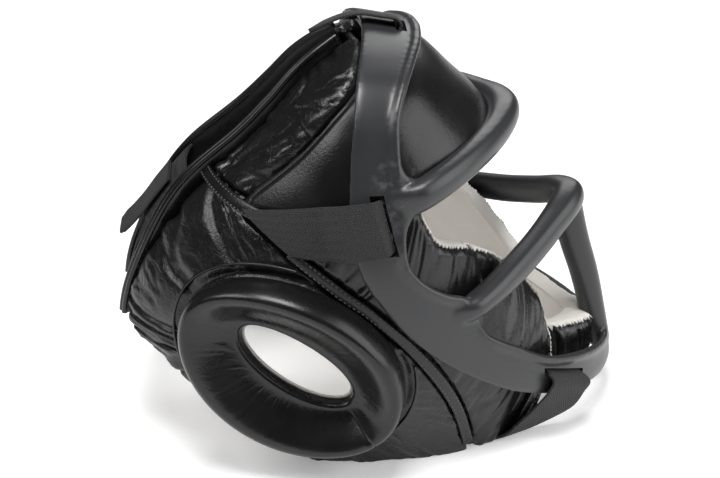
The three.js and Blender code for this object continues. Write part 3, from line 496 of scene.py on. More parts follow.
def strap_wall(outer, inner):
    """A strap between two faces, with its lengths as UV."""
    return wall(outer, inner, uv=np.stack([arc(outer, 0).ravel(), arc(outer, 1).ravel()], -1))


def both_faces(point, u, v, half, near):
    """The two faces of a sheet: its points moved half its thickness along the cross of short steps."""
    along = point(np.minimum(u + near, 1), v) - point(np.maximum(u - near, 0), v)
    out = unit(np.cross(point(u, v + near) - point(u, v - near), along)) * half[..., None]
    return point(u, v) - out, point(u, v) + out


def sweep(sections, loop=False, uv=None):
    """A closed section carried along a path: a grid that closes round it, with flat ends or none."""
    count, sides = sections.shape[:2]
    index = np.arange(count * sides).reshape(count, sides)
    closed = np.concatenate([index, index[:, :1]], 1)
    if loop:
        return sections.reshape(-1, 3), [quads(np.concatenate([closed, closed[:1]], 0))], uv
    return sections.reshape(-1, 3), [quads(closed), np.stack([index[0][::-1], index[-1]])], uv


def circle(count):
    """Even turns once round."""
    return np.linspace(0, 2 * np.pi, count, endpoint=False)


def oval(count, across, through):
    """A squared-off oval: powers of a circle's cosine and sine, with their signs kept."""
    c, s = np.cos(circle(count)), np.sin(circle(count))
    return np.sign(c) * np.abs(c) ** across, np.sign(s) * np.abs(s) ** through


def oval_sweep(middle, across, through):
    """A bar: a squared-off oval between its half width and its half depth, along a line."""
    c, s = (part[None, :, None] for part in oval(*BAR_OVAL))
    return sweep(middle[:, None] + across[:, None] * c + through[:, None] * s)


def tube(middle, normal, radius, sides=10):
    """A round section along a line."""
    along = ahead(middle)
    side = unit(np.cross(along, normal))
    normal = np.cross(side, along)
    turn = circle(sides)[None, :, None]
    ring = side[:, None] * np.cos(turn) + normal[:, None] * np.sin(turn)
    return sweep(middle[:, None] + np.broadcast_to(radius, len(middle))[:, None, None] * ring)


def ribbon(middle, across, out, half, thick, bow=0.0):
    """A flat strap with rounded edges along a line: a squared-off oval section that bows out by a parabola,
    and its own lengths as UV."""
    c, s = oval(*RIBBON_OVAL)
    wide = c * np.broadcast_to(half, len(middle))[:, None]
    lift = (s * thick / 2 + bow * (1 - c * c))[None, :, None]
    sections = middle[:, None] + across[:, None] * wide[..., None] + out[:, None] * lift
    return sweep(sections, uv=np.stack([np.repeat(arc(middle), len(c)), wide.ravel()], -1))


def facing_out(shape):
    """The shape with its faces turned out, by the sign of its volume: a sum of triple products."""
    points, blocks, uv = shape
    corners = points - points.mean(0)
    volume = 0.0
    for block in blocks:
        for k in range(1, block.shape[1] - 1):
            sides = np.cross(corners[block[:, k]], corners[block[:, k + 1]])
            volume += np.sum(corners[block[:, 0]] * sides)
    return points, blocks if volume > 0 else [block[:, ::-1] for block in blocks], uv


def mirrored(shape, side):
    """The shape on the wearer's left, or its mirror image on the right."""
    return shape[0] * np.array([side, 1, 1]), *shape[1:]


def joined(*shapes):
    """Several closed shapes as one mesh, each facing out."""
    points, blocks, count = [], [], 0
    for more, theirs, _ in map(facing_out, shapes):
        points.append(more)
        blocks += [block + count for block in theirs]
        count += len(more)
    return np.concatenate(points), blocks, None


def mesh_object(name, shape):
    """A shape as an object on the frame, in metres."""
    points, blocks, uv = facing_out(shape)
    faces = [face for block in blocks for face in block.tolist()]
    mesh = bpy.data.meshes.new(name)
    mesh.from_pydata(((points - np.array([0, MIDDLE_Y, 0])) * MM).tolist(), [], faces)
    if uv is not None:
        corner = np.empty(len(mesh.loops), np.int32)
        mesh.loops.foreach_get("vertex_index", corner)
        lengths = (uv[corner] * MM).astype(np.float32).ravel()
        mesh.uv_layers.new(name="lengths").data.foreach_set("uv", lengths)
    made = bpy.data.objects.new(name, mesh)
    bpy.context.scene.collection.objects.link(made)
    return made


def finished(made, finish, replaces=(), corner=PIECE_CORNER):
    """An object with smooth shading up to a corner's angle, its finish and its body, with the CAD nodes it
    stands for hidden.
    """
    made.data.shade_smooth()
    made.data.set_sharp_from_angle(angle=radians(corner))
    made.data.materials.clear()
    made.data.materials.append(material(finish))
    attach(made, "root")
    if replaces:
        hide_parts(*replaces)
    return made


def trim(name, shape, finish, side):
    """A piece that is sewn on and stands for no node."""
    return finished(mesh_object(name, mirrored(shape, side)), finish)


def dress(node, shape, finish, side=1):
    """A piece that stands for a CAD node, named for the node and its slot."""
    made = mesh_object(f"{node}_{SLOTS[finish]}", mirrored(shape, side))
    finished(made, finish, [node])


# Finishes

def add(tree, kind, inputs=(), **settings):
    """A node with its settings, and its sockets set to a value or linked from another node's socket."""
    node = tree.nodes.new(kind)
    for key, value in settings.items():
        setattr(node, key, value)
    for key, value in dict(inputs).items():
        if isinstance(value, bpy.types.NodeSocket):
            tree.links.new(value, node.inputs[key])
        else:
            node.inputs[key].default_value = value
    return node


def calc(tree, operation, *values):
    """The result of one sum."""
    return add(tree, "ShaderNodeMath", dict(enumerate(values)), operation=operation).outputs[0]


def scaled(tree, value, factor, start):
    """A start plus a factor times a value."""
    return calc(tree, "ADD", calc(tree, "MULTIPLY", value, factor), start)


def blended(tree, factor, first, second):
    """A colour between two others."""
    inputs = {0: factor, 6: (*first, 1), 7: (*second, 1)}
    return add(tree, "ShaderNodeMix", inputs, data_type="RGBA").outputs[2]


def bump(tree, shader, height, depth, strength, normal=None):
    """A bump of some depth, over another's normal or none, into the shader."""
    inputs = {"Height": height, "Distance": depth, "Strength": strength}
    if normal is not None:
        inputs["Normal"] = normal
    made = add(tree, "ShaderNodeBump", inputs).outputs[0]
    tree.links.new(made, shader.inputs["Normal"])
    return made


def group(name, inputs, outputs):
    """A new shader node group with a vector, number inputs and number outputs."""
    tree = bpy.data.node_groups.new(name, "ShaderNodeTree")
    tree.interface.new_socket("Vector", in_out="INPUT", socket_type="NodeSocketVector")
    for key, value in inputs.items():
        socket = tree.interface.new_socket(key, in_out="INPUT", socket_type="NodeSocketFloat")
        socket.default_value = value
    for key in outputs:
        tree.interface.new_socket(key, in_out="OUTPUT", socket_type="NodeSocketFloat")
    return tree, tree.nodes.new("NodeGroupInput").outputs, tree.nodes.new("NodeGroupOutput").inputs


def surface_group():
    """Grain cells, soft mottling and rubbed patches, by sizes per metre."""
    tree, given, made = group("surface_variation", VARIATION["leather"], VARIATION["leather"])
    place = given["Vector"]
    cells = add(tree, "ShaderNodeTexVoronoi", {"Vector": place, "Scale": given["Grain"]},
                feature="SMOOTH_F1")
    soft = add(tree, "ShaderNodeTexNoise", {"Vector": place, "Scale": given["Mottle"], "Detail": 4.0})
    rubbed = add(tree, "ShaderNodeTexNoise", {
        "Vector": place, "Scale": given["Rub"], "Detail": 8.0, "Roughness": 0.72})
    patch = add(tree, "ShaderNodeMapRange", {
        "Value": rubbed.outputs[0], "From Min": 0.52, "From Max": 0.78})
    tree.links.new(cells.outputs["Distance"], made["Grain"])
    tree.links.new(soft.outputs[0], made["Mottle"])
    tree.links.new(patch.outputs[0], made["Rub"])
    return tree


def weave_group():
    """Herringbone ribs on the piece's own lengths: a sine of the length plus a zigzag of the width, with
    finer cords across."""
    sizes = {"Pitch": RIB_PITCH, "Zigzag": RIB_ZIGZAG, "Lean": RIB_LEAN}
    tree, given, made = group("woven_ribs", sizes, ("Height",))
    apart = add(tree, "ShaderNodeSeparateXYZ", {0: given["Vector"]}).outputs
    across = calc(tree, "DIVIDE", apart[1], given["Zigzag"])
    tooth = calc(tree, "MULTIPLY", calc(tree, "PINGPONG", across, 0.5), given["Lean"])
    lean = calc(tree, "MULTIPLY", tooth, given["Zigzag"])
    place = calc(tree, "DIVIDE", calc(tree, "ADD", apart[0], lean), given["Pitch"])
    rib = calc(tree, "SINE", calc(tree, "MULTIPLY", place, 2 * np.pi))
    cord = calc(tree, "SINE", calc(tree, "MULTIPLY", across, 2 * np.pi * CORDS_PER_ZIGZAG))
    ribs, cords = calc(tree, "MULTIPLY", rib, RIB_SHARE), calc(tree, "MULTIPLY", cord, CORD_SHARE)
    height = calc(tree, "ADD", calc(tree, "ADD", ribs, cords), RIB_MIDDLE)
    tree.links.new(height, made["Height"])
    return tree


def finish(name, colour, rough, **shader):
    """A new material with its even values; returns its tree and its shader."""
    made = bpy.data.materials.new(name)
    made.use_nodes = True
    principled = made.node_tree.nodes["Principled BSDF"]
    principled.inputs["Base Color"].default_value = (*colour, 1)
    principled.inputs["Roughness"].default_value = rough
    for key, value in shader.items():
        principled.inputs[key.replace("_", " ")].default_value = value
    return made.node_tree, principled


def variation(tree, kind):
    """The shared surface group at one finish's sizes; returns its place and its outputs."""
    place = add(tree, "ShaderNodeTexCoord").outputs["Object"]
    shared = bpy.data.node_groups.get("surface_variation") or surface_group()
    inputs = {"Vector": place, **VARIATION[kind]}
    return place, add(tree, "ShaderNodeGroup", inputs, node_tree=shared).outputs


def make_leather(look, name):
    """Black leather: grain cells, nets of creases where noise crosses its middle, paler where rubbed."""
    kind = LEATHERS[name]
    tree, shader = finish(name, look.leather, kind["rough"],
                          Specular_IOR_Level=0.36, Coat_Weight=0.1, Coat_Roughness=0.2)
    place, surface = variation(tree, "leather")
    worn = blended(tree, surface["Rub"], look.leather, look.leather_worn)
    tree.links.new(worn, shader.inputs["Base Color"])
    rough = scaled(tree, surface["Mottle"], LEATHER_UNEVEN, kind["rough"] - LEATHER_GLOSS)
    tree.links.new(rough, shader.inputs["Roughness"])
    height = 0.0
    for scale, share in CREASE_NETS:
        lines = add(tree, "ShaderNodeTexNoise", {
            "Vector": place, "Scale": scale, "Detail": 3.0, "Distortion": 0.7})
        ridge = calc(tree, "ABSOLUTE", calc(tree, "SUBTRACT", lines.outputs[0], 0.5))
        valley = add(tree, "ShaderNodeMapRange", {"Value": ridge, "From Max": CREASE_WIDTH},
                     interpolation_type="SMOOTHSTEP")
        height = scaled(tree, valley.outputs[0], share, height)
    fine = bump(tree, shader, surface["Grain"], GRAIN_DEPTH, kind["grain"])
    bump(tree, shader, height, CREASE_DEPTH, kind["creases"], fine)


def make_suede(look, name):
    """Pale suede: a short nap that mottles the colour, with a soft sheen."""
    tree, shader = finish(name, look.suede, 0.92, Sheen_Weight=0.25, Sheen_Roughness=0.5)
    _, surface = variation(tree, "suede")
    shade = blended(tree, surface["Mottle"], look.suede_shade, look.suede)
    tree.links.new(shade, shader.inputs["Base Color"])
    bump(tree, shader, surface["Grain"], *BUMPS["suede"].values())


def make_plastic(look, name):
    """Satin moulded plastic: a faint texture, and pale scuffs inside an oval at the temples."""
    tree, shader = finish(name, look.plastic, 0.42, Specular_IOR_Level=0.5)
    place, surface = variation(tree, "plastic")
    apart = add(tree, "ShaderNodeSeparateXYZ", {0: place}).outputs
    level = calc(tree, "MULTIPLY", calc(tree, "SUBTRACT", apart[2], SCUFF_Z), SCUFF_UP)
    depth = calc(tree, "MULTIPLY", calc(tree, "SUBTRACT", apart[1], SCUFF_Y), SCUFF_ACROSS)
    away = calc(tree, "ADD", calc(tree, "MULTIPLY", level, level), calc(tree, "MULTIPLY", depth, depth))
    near = add(tree, "ShaderNodeMapRange", {"Value": away, "From Min": 1.0, "From Max": 0.0})
    scuff = calc(tree, "MULTIPLY", near.outputs[0], surface["Rub"])
    colour = blended(tree, scuff, look.plastic, look.plastic_scuff)
    tree.links.new(colour, shader.inputs["Base Color"])
    satin = scaled(tree, surface["Mottle"], SATIN_UNEVEN, SATIN_ROUGH)
    rough = scaled(tree, scuff, SCUFF_ROUGH, satin)
    tree.links.new(rough, shader.inputs["Roughness"])
    bump(tree, shader, surface["Grain"], *BUMPS["plastic"].values())


def make_webbing(look, name):
    """Charcoal woven elastic: herringbone ribs with painted shade between them, and a darker copy as
    painted shade at the back.
    """
    # The straps at the back take a darker copy of the colour, with no sheen: painted shade.
    woven, back = (look.webbing, 0.05), (look.webbing_shaded_copy, 0.0)
    high, sheen = woven if name == "woven_webbing" else back
    tree, shader = finish(name, high, 0.8, Sheen_Weight=sheen)
    lengths = add(tree, "ShaderNodeUVMap", uv_map="lengths").outputs[0]
    shared = bpy.data.node_groups.get("woven_ribs") or weave_group()
    ribs = add(tree, "ShaderNodeGroup", {"Vector": lengths}, node_tree=shared).outputs[0]
    # Painted shade: darker where the ribs sink, lighter on their tops.
    colour = blended(tree, ribs, look.webbing_rib_shade, high)
    tree.links.new(colour, shader.inputs["Base Color"])
    bump(tree, shader, ribs, *BUMPS["webbing"].values())


def make_thread(look, name):
    """Waxed black thread with a fine grain."""
    tree, shader = finish(name, look.thread, 0.45, Specular_IOR_Level=0.5)
    _, surface = variation(tree, "thread")
    rough = scaled(tree, surface["Mottle"], THREAD_UNEVEN, THREAD_ROUGH)
    tree.links.new(rough, shader.inputs["Roughness"])
    bump(tree, shader, surface["Grain"], *BUMPS["thread"].values())


MAKERS = {
    **dict.fromkeys(LEATHERS, make_leather), "suede_lining": make_suede, "satin_plastic": make_plastic,
    "woven_webbing": make_webbing, "back_webbing": make_webbing, "waxed_thread": make_thread,
}


def material(name):
    """A finish by name, made the first time that it is asked for."""
    if name not in bpy.data.materials:
        MAKERS[name](bpy.context.scene.headgear_finishes, name)
    return bpy.data.materials[name]


# Leather pads

def inside(kind, share):
    """The level of a pad's inner face: a pad's thickness down, less a power of the share of the way."""
    return -PAD + THINNED[kind]["by"] * share ** THINNED[kind]["power"]


def forehead_edges(u, v):
    """Lower edge to upper edge, from ear to ear, with a hump that hangs below beside the middle."""
    side = 2 * u - 1
    t = np.abs(side)
    angle = between(FOREHEAD, "low_angle", "high_angle", t, v)
    low = row(FOREHEAD, "low_z", t) - hump(t, *FOREHEAD_HANG)
    return np.sign(side) * angle, mix(low, row(FOREHEAD, "high_z", t), v)


def crown_edges(u, v):
    """The forehead pad's rear edge to the slit, from the top of the head down to a straight tail."""
    along = mix(CROWN_START, 1.0, np.minimum(u / CROWN_TAIL, 1))
    drop = CROWN_DROP * np.maximum((u - CROWN_TAIL) / (1 - CROWN_TAIL), 0)
    low_angle = row(FOREHEAD, "high_angle", along) + SEAM_ANGLE
    low_z = row(FOREHEAD, "high_z", along) + 2 * GAP - drop
    return mix(low_angle, row(CROWN, "rim_angle", u), v), mix(low_z, row(CROWN, "rim_z", u), v)


def cheek_edges(u, v):
    """The seam to the face rim, from the tail under the temple down to the jaw."""
    y = mix(row(CHEEK, "seam_y", u) - SEAM_GAP, row(CHEEK, "rim_y", u), v)
    z = between(CHEEK, "seam_z", "rim_z", u, v)
    return angle_at(SHELL, y, z), z


def chin_edges(u, v):
    """Lower edge to upper edge, from side to side, dipping by a parabola in the middle."""
    side = 2 * u - 1
    return row(CHIN, "angle", v) * side, row(CHIN, "z", v) - row(CHIN, "dip", v) * (1 - side * side)


def forehead_relief(p, seed):
    """Rounded edges, fuller over the brow bar, with slack and faint creases by the temple windows."""
    side, across = 2 * p["u"] - 1, p["across"]
    crease = folds("forehead_crease", p["along"], across, seed) * hump(np.abs(side), *CREASE_AT)
    crease *= step(across, *CREASE_START) * (1 - step(across, *CREASE_END))
    slack = noise(p["along"] / SLACK_LONG, across / SLACK_WIDE, seed + 1)
    full = hump(side, *FOREHEAD_FULL) * hump(across, *FULL_UP)
    return soft_edges("forehead", p) + full + crease + SLACK_DEEP * (slack - 1)


def crown_relief(p, seed):
    """Rounded edges, slanting loose wrinkles over the whole panel, gathers at its lower end and its rim."""
    along, across = p["along"], p["across"]
    slant, turned = along + CROWN_SLANT * across, across - CROWN_TURN * along
    loose = folds("crown_loose", slant, turned, seed) + folds("crown_small", along, across, seed)
    drawn = gathers("crown_drawn", across, p["to_end"], seed)
    return soft_edges("crown", p) + loose + drawn + gathers("crown_rim", along, p["to_high"], seed)


def cheek_relief(p, seed):
    """Rounded edges, gathers along the seam and at the face rim, with long soft folds between."""
    along = p["along"]
    seam = gathers("cheek_seam", along, np.maximum(p["across"] - SEAM_CLEAR, 0), seed)
    rim = gathers("cheek_rim", along, p["to_high"], seed)
    return soft_edges("cheek", p) + seam + rim + folds("cheek_long", along, p["across"], seed)


def chin_relief(p, seed):
    """Rounded edges, full at the middle, with gathers along its upper edge."""
    full = hump(2 * p["u"] - 1, *CHIN_FULL)
    return soft_edges("chin", p) + full + gathers("chin_rim", p["along"], p["to_high"], seed)


PADS = {
    "forehead": (forehead_edges, forehead_relief), "crown": (crown_edges, crown_relief),
    "cheek": (cheek_edges, cheek_relief), "chin": (chin_edges, chin_relief),
}


def pad_faces(kind, nu, nv, seed):
    """A pad's faces on the shell between its edges: the outer lifted by its relief, the inner inside."""
    edges, relief = PADS[kind]
    u, v = grid(nu, nv)
    angle, z = edges(u, v)
    face = on_form(SHELL, angle, z)
    along, across = arc(face, 0), arc(face, 1)
    places = {"u": u, "along": along, "across": across,
              "to_end": along[-1:] - along, "to_high": across[:, -1:] - across}
    return on_shell(angle, z, relief(places, seed)), on_shell(angle, z, inside(kind, v))


def pad(kind, side=0):
    """A pad as a closed wall between its two faces."""
    return wall(*pad_faces(kind, *GRIDS[kind]["pad"], SEEDS[kind] + side))


def lining_wall(angle, z, level, ring=False):
    """A lining: two faces a suede's thickness apart, a small gap under a level."""
    return wall(on_shell(angle, z, level - GAP), on_shell(angle, z, level - GAP - LINING), ring)


def lining(kind):
    """The lining behind a pad."""
    u, v = grid(*GRIDS[kind]["lining"])
    return lining_wall(*PADS[kind][0](u, v), inside(kind, v))


def turned_lining(kind, side=0):
    """A lining that turns over the pad's face rim and ends in a small zigzag on the leather: the
    lining's own sheet, and a thin strip from it round the rim and a little way down the outer face."""
    outer, inner = pad_faces(kind, *GRIDS[kind]["turned"], SEEDS[kind] + side)
    tooth = np.abs((arc(outer[:, -1]) / TOOTH) % 1 - 0.5) * 2
    at = (EDGE_REACH + EDGE_TOOTH * tooth)[:, None] * EDGE_SHARES
    down, face = arc(outer[:, ::-1], 1), outer[:, ::-1]
    n = np.arange(len(face))[:, None]
    i = np.sum(down[:, :, None] <= at[:, None], 1) - 1
    share = (at - down[n, i]) / (down[n, i + 1] - down[n, i])
    end = outer[:, -1] - inner[:, -1]
    over = unit(outer[:, -1] - outer[:, -3] + inner[:, -1] - inner[:, -3])
    lines = [inner[:, -1] - (GAP + LINING) * unit(end), inner[:, -1] + over]
    lines.append(outer[:, -1] + over * EDGE_AHEAD)
    strip = np.concatenate([np.stack(lines, 1), mix(face[n, i], face[n, i + 1], share[..., None])], 1)
    out = unit(np.cross(np.gradient(strip, axis=0), np.gradient(strip, axis=1)))
    out *= np.sign(np.sum(out[:, 3:4] * end[:, None], -1, keepdims=True))
    faces = [strip + (EDGE_LIFT + way * EDGE_HALF) * out for way in (1, -1)]
    return joined(lining(kind), wall(*faces))


def crown_seam():
    """A strip of leather in the seam between the forehead pad and the crown panel, along all of it."""
    t = np.append(np.linspace(CROWN_START, 1, CROWN_SEAM_STEPS), np.ones(TAIL_STEPS))
    tail = np.linspace(0, CROWN_DROP, TAIL_STEPS + 1)[1:]
    angle = row(FOREHEAD, "high_angle", t) + SEAM_ANGLE / 2
    z = row(FOREHEAD, "high_z", t) + GAP - np.append(np.zeros(CROWN_SEAM_STEPS), tail)
    line = lifted(SHELL, angle, z, CROWN_SEAM_DEEP)
    return strip_shape(line, form_normal(SHELL, angle, z), CROWN_SEAM_HALF, CROWN_SEAM_THICK)[0]


# The ear

def ear_edge(oval, turn):
    """The edge of an oval about the ear's middle in the side view, towards a direction."""
    long, short, tilt = oval
    local = turn - np.radians(tilt)
    radius = long * short / np.hypot(short * np.cos(local), long * np.sin(local))
    return EAR_Y + radius * np.cos(turn), EAR_Z + radius * np.sin(turn)


def grown(oval, apart):
    """An oval that is wider by the same all round."""
    return oval[0] + apart, oval[1] + apart, oval[2]


def ear_places(nu, nv, hole):
    """A grid round the ear, from the hole out to the panel's outline, in the side view."""
    u, v = grid(nu, nv, ring=True)
    y, z = row(EAR_PANEL, "y", u), row(EAR_PANEL, "z", u)
    start_y, start_z = ear_edge(hole, np.arctan2(z - EAR_Z, y - EAR_Y))
    return u, v, mix(start_y, y, v), mix(start_z, z, v)


def ear_panel(seed):
    """A wall round the ear: radial folds, a channel round the ring, gathers and a ledge along the seam."""
    u, v, y, z = ear_places(*EAR_GRID, EAR_HOLE)
    angle = angle_at(SHELL, y, z)
    face = on_form(SHELL, angle, z)
    around = arc(np.concatenate([face[:, -1:], face[:1, -1:]]))[:-1] + 0 * v
    across = arc(face, 1)
    away = across[:, -1:] - across
    ring_y, ring_z = ear_edge(EAR_OUTLINE, np.arctan2(z - EAR_Z, y - EAR_Y))
    past_ring = np.hypot(y - EAR_Y, z - EAR_Z) - np.hypot(ring_y - EAR_Y, ring_z - EAR_Z)
    place = u * EAR_SPANS
    seam = step(place, *SEAM_AT)
    jaw = step(place, *JAW_START) * (1 - step(place, *JAW_END))
    behind = 1 - step(place, *FRONT_START) * (1 - step(place, *FRONT_END))
    edge = np.minimum(rounded(away, EAR_ROUND), seam * rounded(away, EAR_ROUND, SEAM_LEDGE))
    edge = mix(edge, rounded(away, JAW_ROUND), jaw)
    loose = folds("ear_loose", around, away, seed) * (1 + behind)
    loose += folds("ear_small", around, away, seed)
    drawn = gathers("ear_drawn", around, np.maximum(away - SEAM_CLEAR * seam, 0), seed)
    channel = hump(past_ring, *RING_CHANNEL) + hump(past_ring, *RING_RIDGE)
    lift = edge + channel + step(past_ring, *RING_CLEAR) * loose + drawn
    lift = mix(lift, EAR_BED, step(-past_ring, *RING_UNDER)) * step(v, *HOLE_FADE)
    return wall(on_shell(angle, z, lift), on_shell(angle, z, inside("ear", 1 - v)), ring=True)


def ear_lining():
    """The lining behind the ear panel, a little past the hole's edge."""
    _, v, y, z = ear_places(*EAR_LINING_GRID, grown(EAR_HOLE, -EAR_LINING_IN))
    return lining_wall(angle_at(SHELL, y, z), z, inside("ear", 1 - v), ring=True)


def ear_ring(seed):
    """A soft roll round the hole, its crest near the outside, with puckers and a skirt into the hole."""
    turn = circle(RING_GRID[0])[:, None]
    edge_y, edge_z = ear_edge(EAR_OUTLINE, turn)

    def at(out, apart, lift):
        """Places round the ring, by the share of the way out from a grown hole."""
        hole_y, hole_z = ear_edge(grown(EAR_HOLE, apart), turn)
        y, z = mix(hole_y, edge_y, out), mix(hole_z, edge_z, out)
        return on_shell(angle_at(SHELL, y, z), z, lift + 0 * y)

    out = (0.5 - 0.5 * np.cos(np.pi * np.linspace(0, 1, RING_GRID[1])))[None, :]
    height = RING_HEIGHT * np.clip(np.sin(np.pi * out ** RING_CREST), 0, 1) ** RING_FULL
    run, depth = turn * RING_AROUND + 0 * out, RING_ACROSS * out + 0 * turn
    pucker = folds("ring_inner", run, depth, seed) * hump(out, *RING_INNER)
    pucker += folds("ring_flank", run, depth, seed) * hump(out, *RING_FLANK)
    pucker += hump(turn, *RING_SEAM) * step(out, *RING_SEAM_START)
    lift = RING_BED + np.maximum(height + pucker * step(height, *PUCKER_START), 0)
    back = np.linspace(1, 0, RING_BACK_STEPS)[None, 1:]
    lines = [at(0, RING_SKIRT["apart"], RING_SKIRT["lift"]), at(out, RING_APART, lift)]
    lines.append(at(back, RING_APART, RING_BED - RING_SUNK))
    lines.append(at(0, RING_BEHIND["apart"], RING_BEHIND["lift"]))
    return sweep(np.concatenate(lines, 1), loop=True)


def ear_welt():
    """A thin welt on the panel outside the ring's channel: a small round section along a wider oval,
    where the panel is broad enough to carry it."""
    turn = circle(WELT_STEPS)
    y, z = ear_edge(grown(EAR_OUTLINE, WELT_APART), turn)
    u = np.linspace(0, 1, OUTLINE_STEPS)
    edge_y, edge_z = row(EAR_PANEL, "y", u) - EAR_Y, row(EAR_PANEL, "z", u) - EAR_Z
    towards, reach = np.arctan2(edge_z, edge_y), np.hypot(edge_y, edge_z)
    edge = np.interp(turn, towards, reach, period=2 * np.pi)
    keep = (edge > np.hypot(y - EAR_Y, z - EAR_Z) + WELT_MARGIN) & (z > WELT_MARGIN)
    angle = angle_at(SHELL, y, z)
    middle, normal = lifted(SHELL, angle, z, WELT_LIFT), form_normal(SHELL, angle, z)
    order = np.roll(np.arange(WELT_STEPS), -int(np.argmin(keep)))
    runs = [run[1:] for run in np.split(order, np.flatnonzero(~keep[order]))]
    return joined(*(tube(middle[run], normal[run], WELT_RADIUS) for run in runs
                    if len(run) > WELT_SHORTEST))


# Bound edges, strips and stitches

def binding_angles():
    """The middle of the bound edge and half its width, as angles."""
    half = (BINDING_ANGLE - BINDING_GAP) / 2
    return RIM_ANGLE + BINDING_GAP + half, half


def groove_lift(z):
    """The level of the groove along the bound edge, which stands proud of the leather above the neck."""
    return RIM_PROUD * step(z, RIM_FLUSH, RIM_RISEN) - BINDING_GROOVE


def binding():
    """A bound edge along the slit: a squared strip with two piped rolls on top and a groove between."""
    z = np.linspace(RIM_TOP, RIM_BOTTOM, BINDING_STEPS)
    c, s = oval(*BINDING_OVAL)
    middle, half = binding_angles()
    level = groove_lift(z)
    lift = mix(-PAD - GAP - LINING, level[:, None], (s + 1) / 2)
    shapes = [sweep(lifted(SHELL, middle + half * c, z[:, None], lift))]
    for way in (-1, 1):
        angle = middle + way * PIPE_APART * half
        line = lifted(SHELL, angle, z, level + BINDING_GROOVE - PIPE_RADIUS)
        shapes.append(tube(line, form_normal(SHELL, angle, z), PIPE_RADIUS, PIPE_SIDES))
    return joined(*shapes)


def stitch_row(line, normal, kind):
    """Separate stitches along a line: small rounded threads, bowed a little into the leather."""
    pitch, length, radius = STITCHES[kind].values()
    run = arc(line)
    at = np.arange(pitch / 2, run[-1] - pitch / 2, pitch)
    middle, up = at_run(line, run, at), unit(at_run(normal, run, at))
    along = at_run(line, run, at + NEAR) - at_run(line, run, at - NEAR)
    along = unit(along - up * np.sum(along * up, -1, keepdims=True))
    t, turn = np.linspace(-1, 1, STITCH_SIDES), circle(STITCH_SIDES)
    girth = radius * np.sqrt(np.clip(1 - np.abs(t) ** 3, STITCH_TIP, 1))[:, None]
    sizes = ((t * length / 2)[:, None] + 0 * turn, girth * np.cos(turn),
             girth * np.sin(turn) + (STITCH_DEPTH - STITCH_BOW * t * t)[:, None])
    ways = (along, np.cross(up, along), up)
    points = middle[:, None, None] + sum(
        way[:, None, None] * size[None, ..., None] for way, size in zip(ways, sizes))
    one, blocks, _ = sweep(points[0])
    first = len(one) * np.arange(len(at))[:, None, None]
    return points.reshape(-1, 3), [(first + b).reshape(-1, b.shape[1]) for b in blocks], None


def side_line(y, z, lift, count):
    """A line on the shell from places in the side view, with the shell's normals."""
    y, z, _ = curve(np.stack([y, z, 0 * y], -1), count).T
    angle = angle_at(SHELL, y, z)
    return on_shell(angle, z, lift), form_normal(SHELL, angle, z)


def strip_shape(line, normal, half, thick):
    """A flat leather strip along a line on the shell, and the directions across it."""
    across = unit(np.cross(ahead(line), normal))
    return ribbon(line, across, normal, half, thick, STRIP_BOW), across


# The mask

def bar_frame(kind):
    """A bar's middle line with its half width and half depth: flatter where it grows out of the plate,
    wider or narrower there by its flare with the upper edge held, and fuller behind at the middle."""
    left, flare = np.array(BARS[kind]["half"], float), BARS[kind]["flare"]
    middle = curve(np.concatenate([left, left[-2::-1] * np.array([-1, 1, 1])]), BAR_STEPS)
    end = np.abs(np.linspace(-1, 1, BAR_STEPS))[:, None]
    along = ahead(middle)
    root = step(end, FLARE_START, FLARE_END)
    side = np.where(middle[:, :1] < 0, -1.0, 1.0)
    plate = form_normal(MASK, angle_at(MASK, middle[:, 1], middle[:, 2]), middle[:, 2])
    plate = np.concatenate([plate[:, :1] * side, plate[:, 1:]], 1)
    out = BAR_SPREAD * middle[:, :1] * np.array([1, 0, 0]) + np.array([0, BAR_FORWARD, BAR_UP])
    out = mix(unit(out), plate, root)
    out = unit(out - along * np.sum(out * along, -1, keepdims=True))
    share = step(end, FLARE_START if flare > 1 else TAPER_START, FLARE_END)
    width = mix(BAR_WIDTH, BAR_WIDTH * flare, share ** 2)
    across = np.cross(out, along)
    across = across * np.sign(across[:, 2:])
    held = np.maximum(BAR_WIDTH - width, 0) / 2
    tip = np.clip((end - BAR_TIP) / (1 - BAR_TIP), 0, 1)
    width = width * np.sqrt(1 - TIP_ROUND * tip * tip)
    fuller = BAR_DEPTH * TIP_FULL * bell(end / TIP_SPAN)
    depth = mix(BAR_DEPTH, ROOT_DEPTH, root) + fuller
    middle = middle - ROOT_SUNK * root * plate - fuller / 2 * out + held * across
    return middle, across * width / 2, out * depth / 2


def bar_edge(kind, way):
    """The upper or lower edge of a bar's left half, a lip's radius inside it, from root to middle."""
    middle, across, _ = bar_frame(kind)
    inset = 1 - LIP_RADIUS / np.linalg.norm(across, axis=-1, keepdims=True)
    return (middle + way * across * inset)[:len(middle) // 2]


def chin_bar():
    """The bar from the nose bar down to the chin band, less deep towards its foot."""
    middle = curve(CHIN_BAR, CHIN_BAR_STEPS)
    across = np.tile([BAR_WIDTH / 2, 0.0, 0.0], (len(middle), 1))
    depth = np.linspace(*CHIN_BAR_DEPTH, len(middle))[:, None]
    return oval_sweep(middle, across, unit(np.cross(across, ahead(middle))) * depth / 2)


def set_back(angle, z):
    """How far the chin band's upper edge lies behind the mask's form: a bell of the angle."""
    return CHIN_BACK * bell(angle / CHIN_SPREAD) * step(z, *CHIN_RISE)


def plate_places(t, v):
    """Front edge to rear edge, from the temple down to the chin, with a cut at the mouth's corner."""
    v = mix(hump(t, *MOUTH_CUT), 1.0, v)
    angle = between(PLATE, "front_angle", "rear_angle", t, v)
    return angle, between(PLATE, "front_z", "rear_z", t, v)


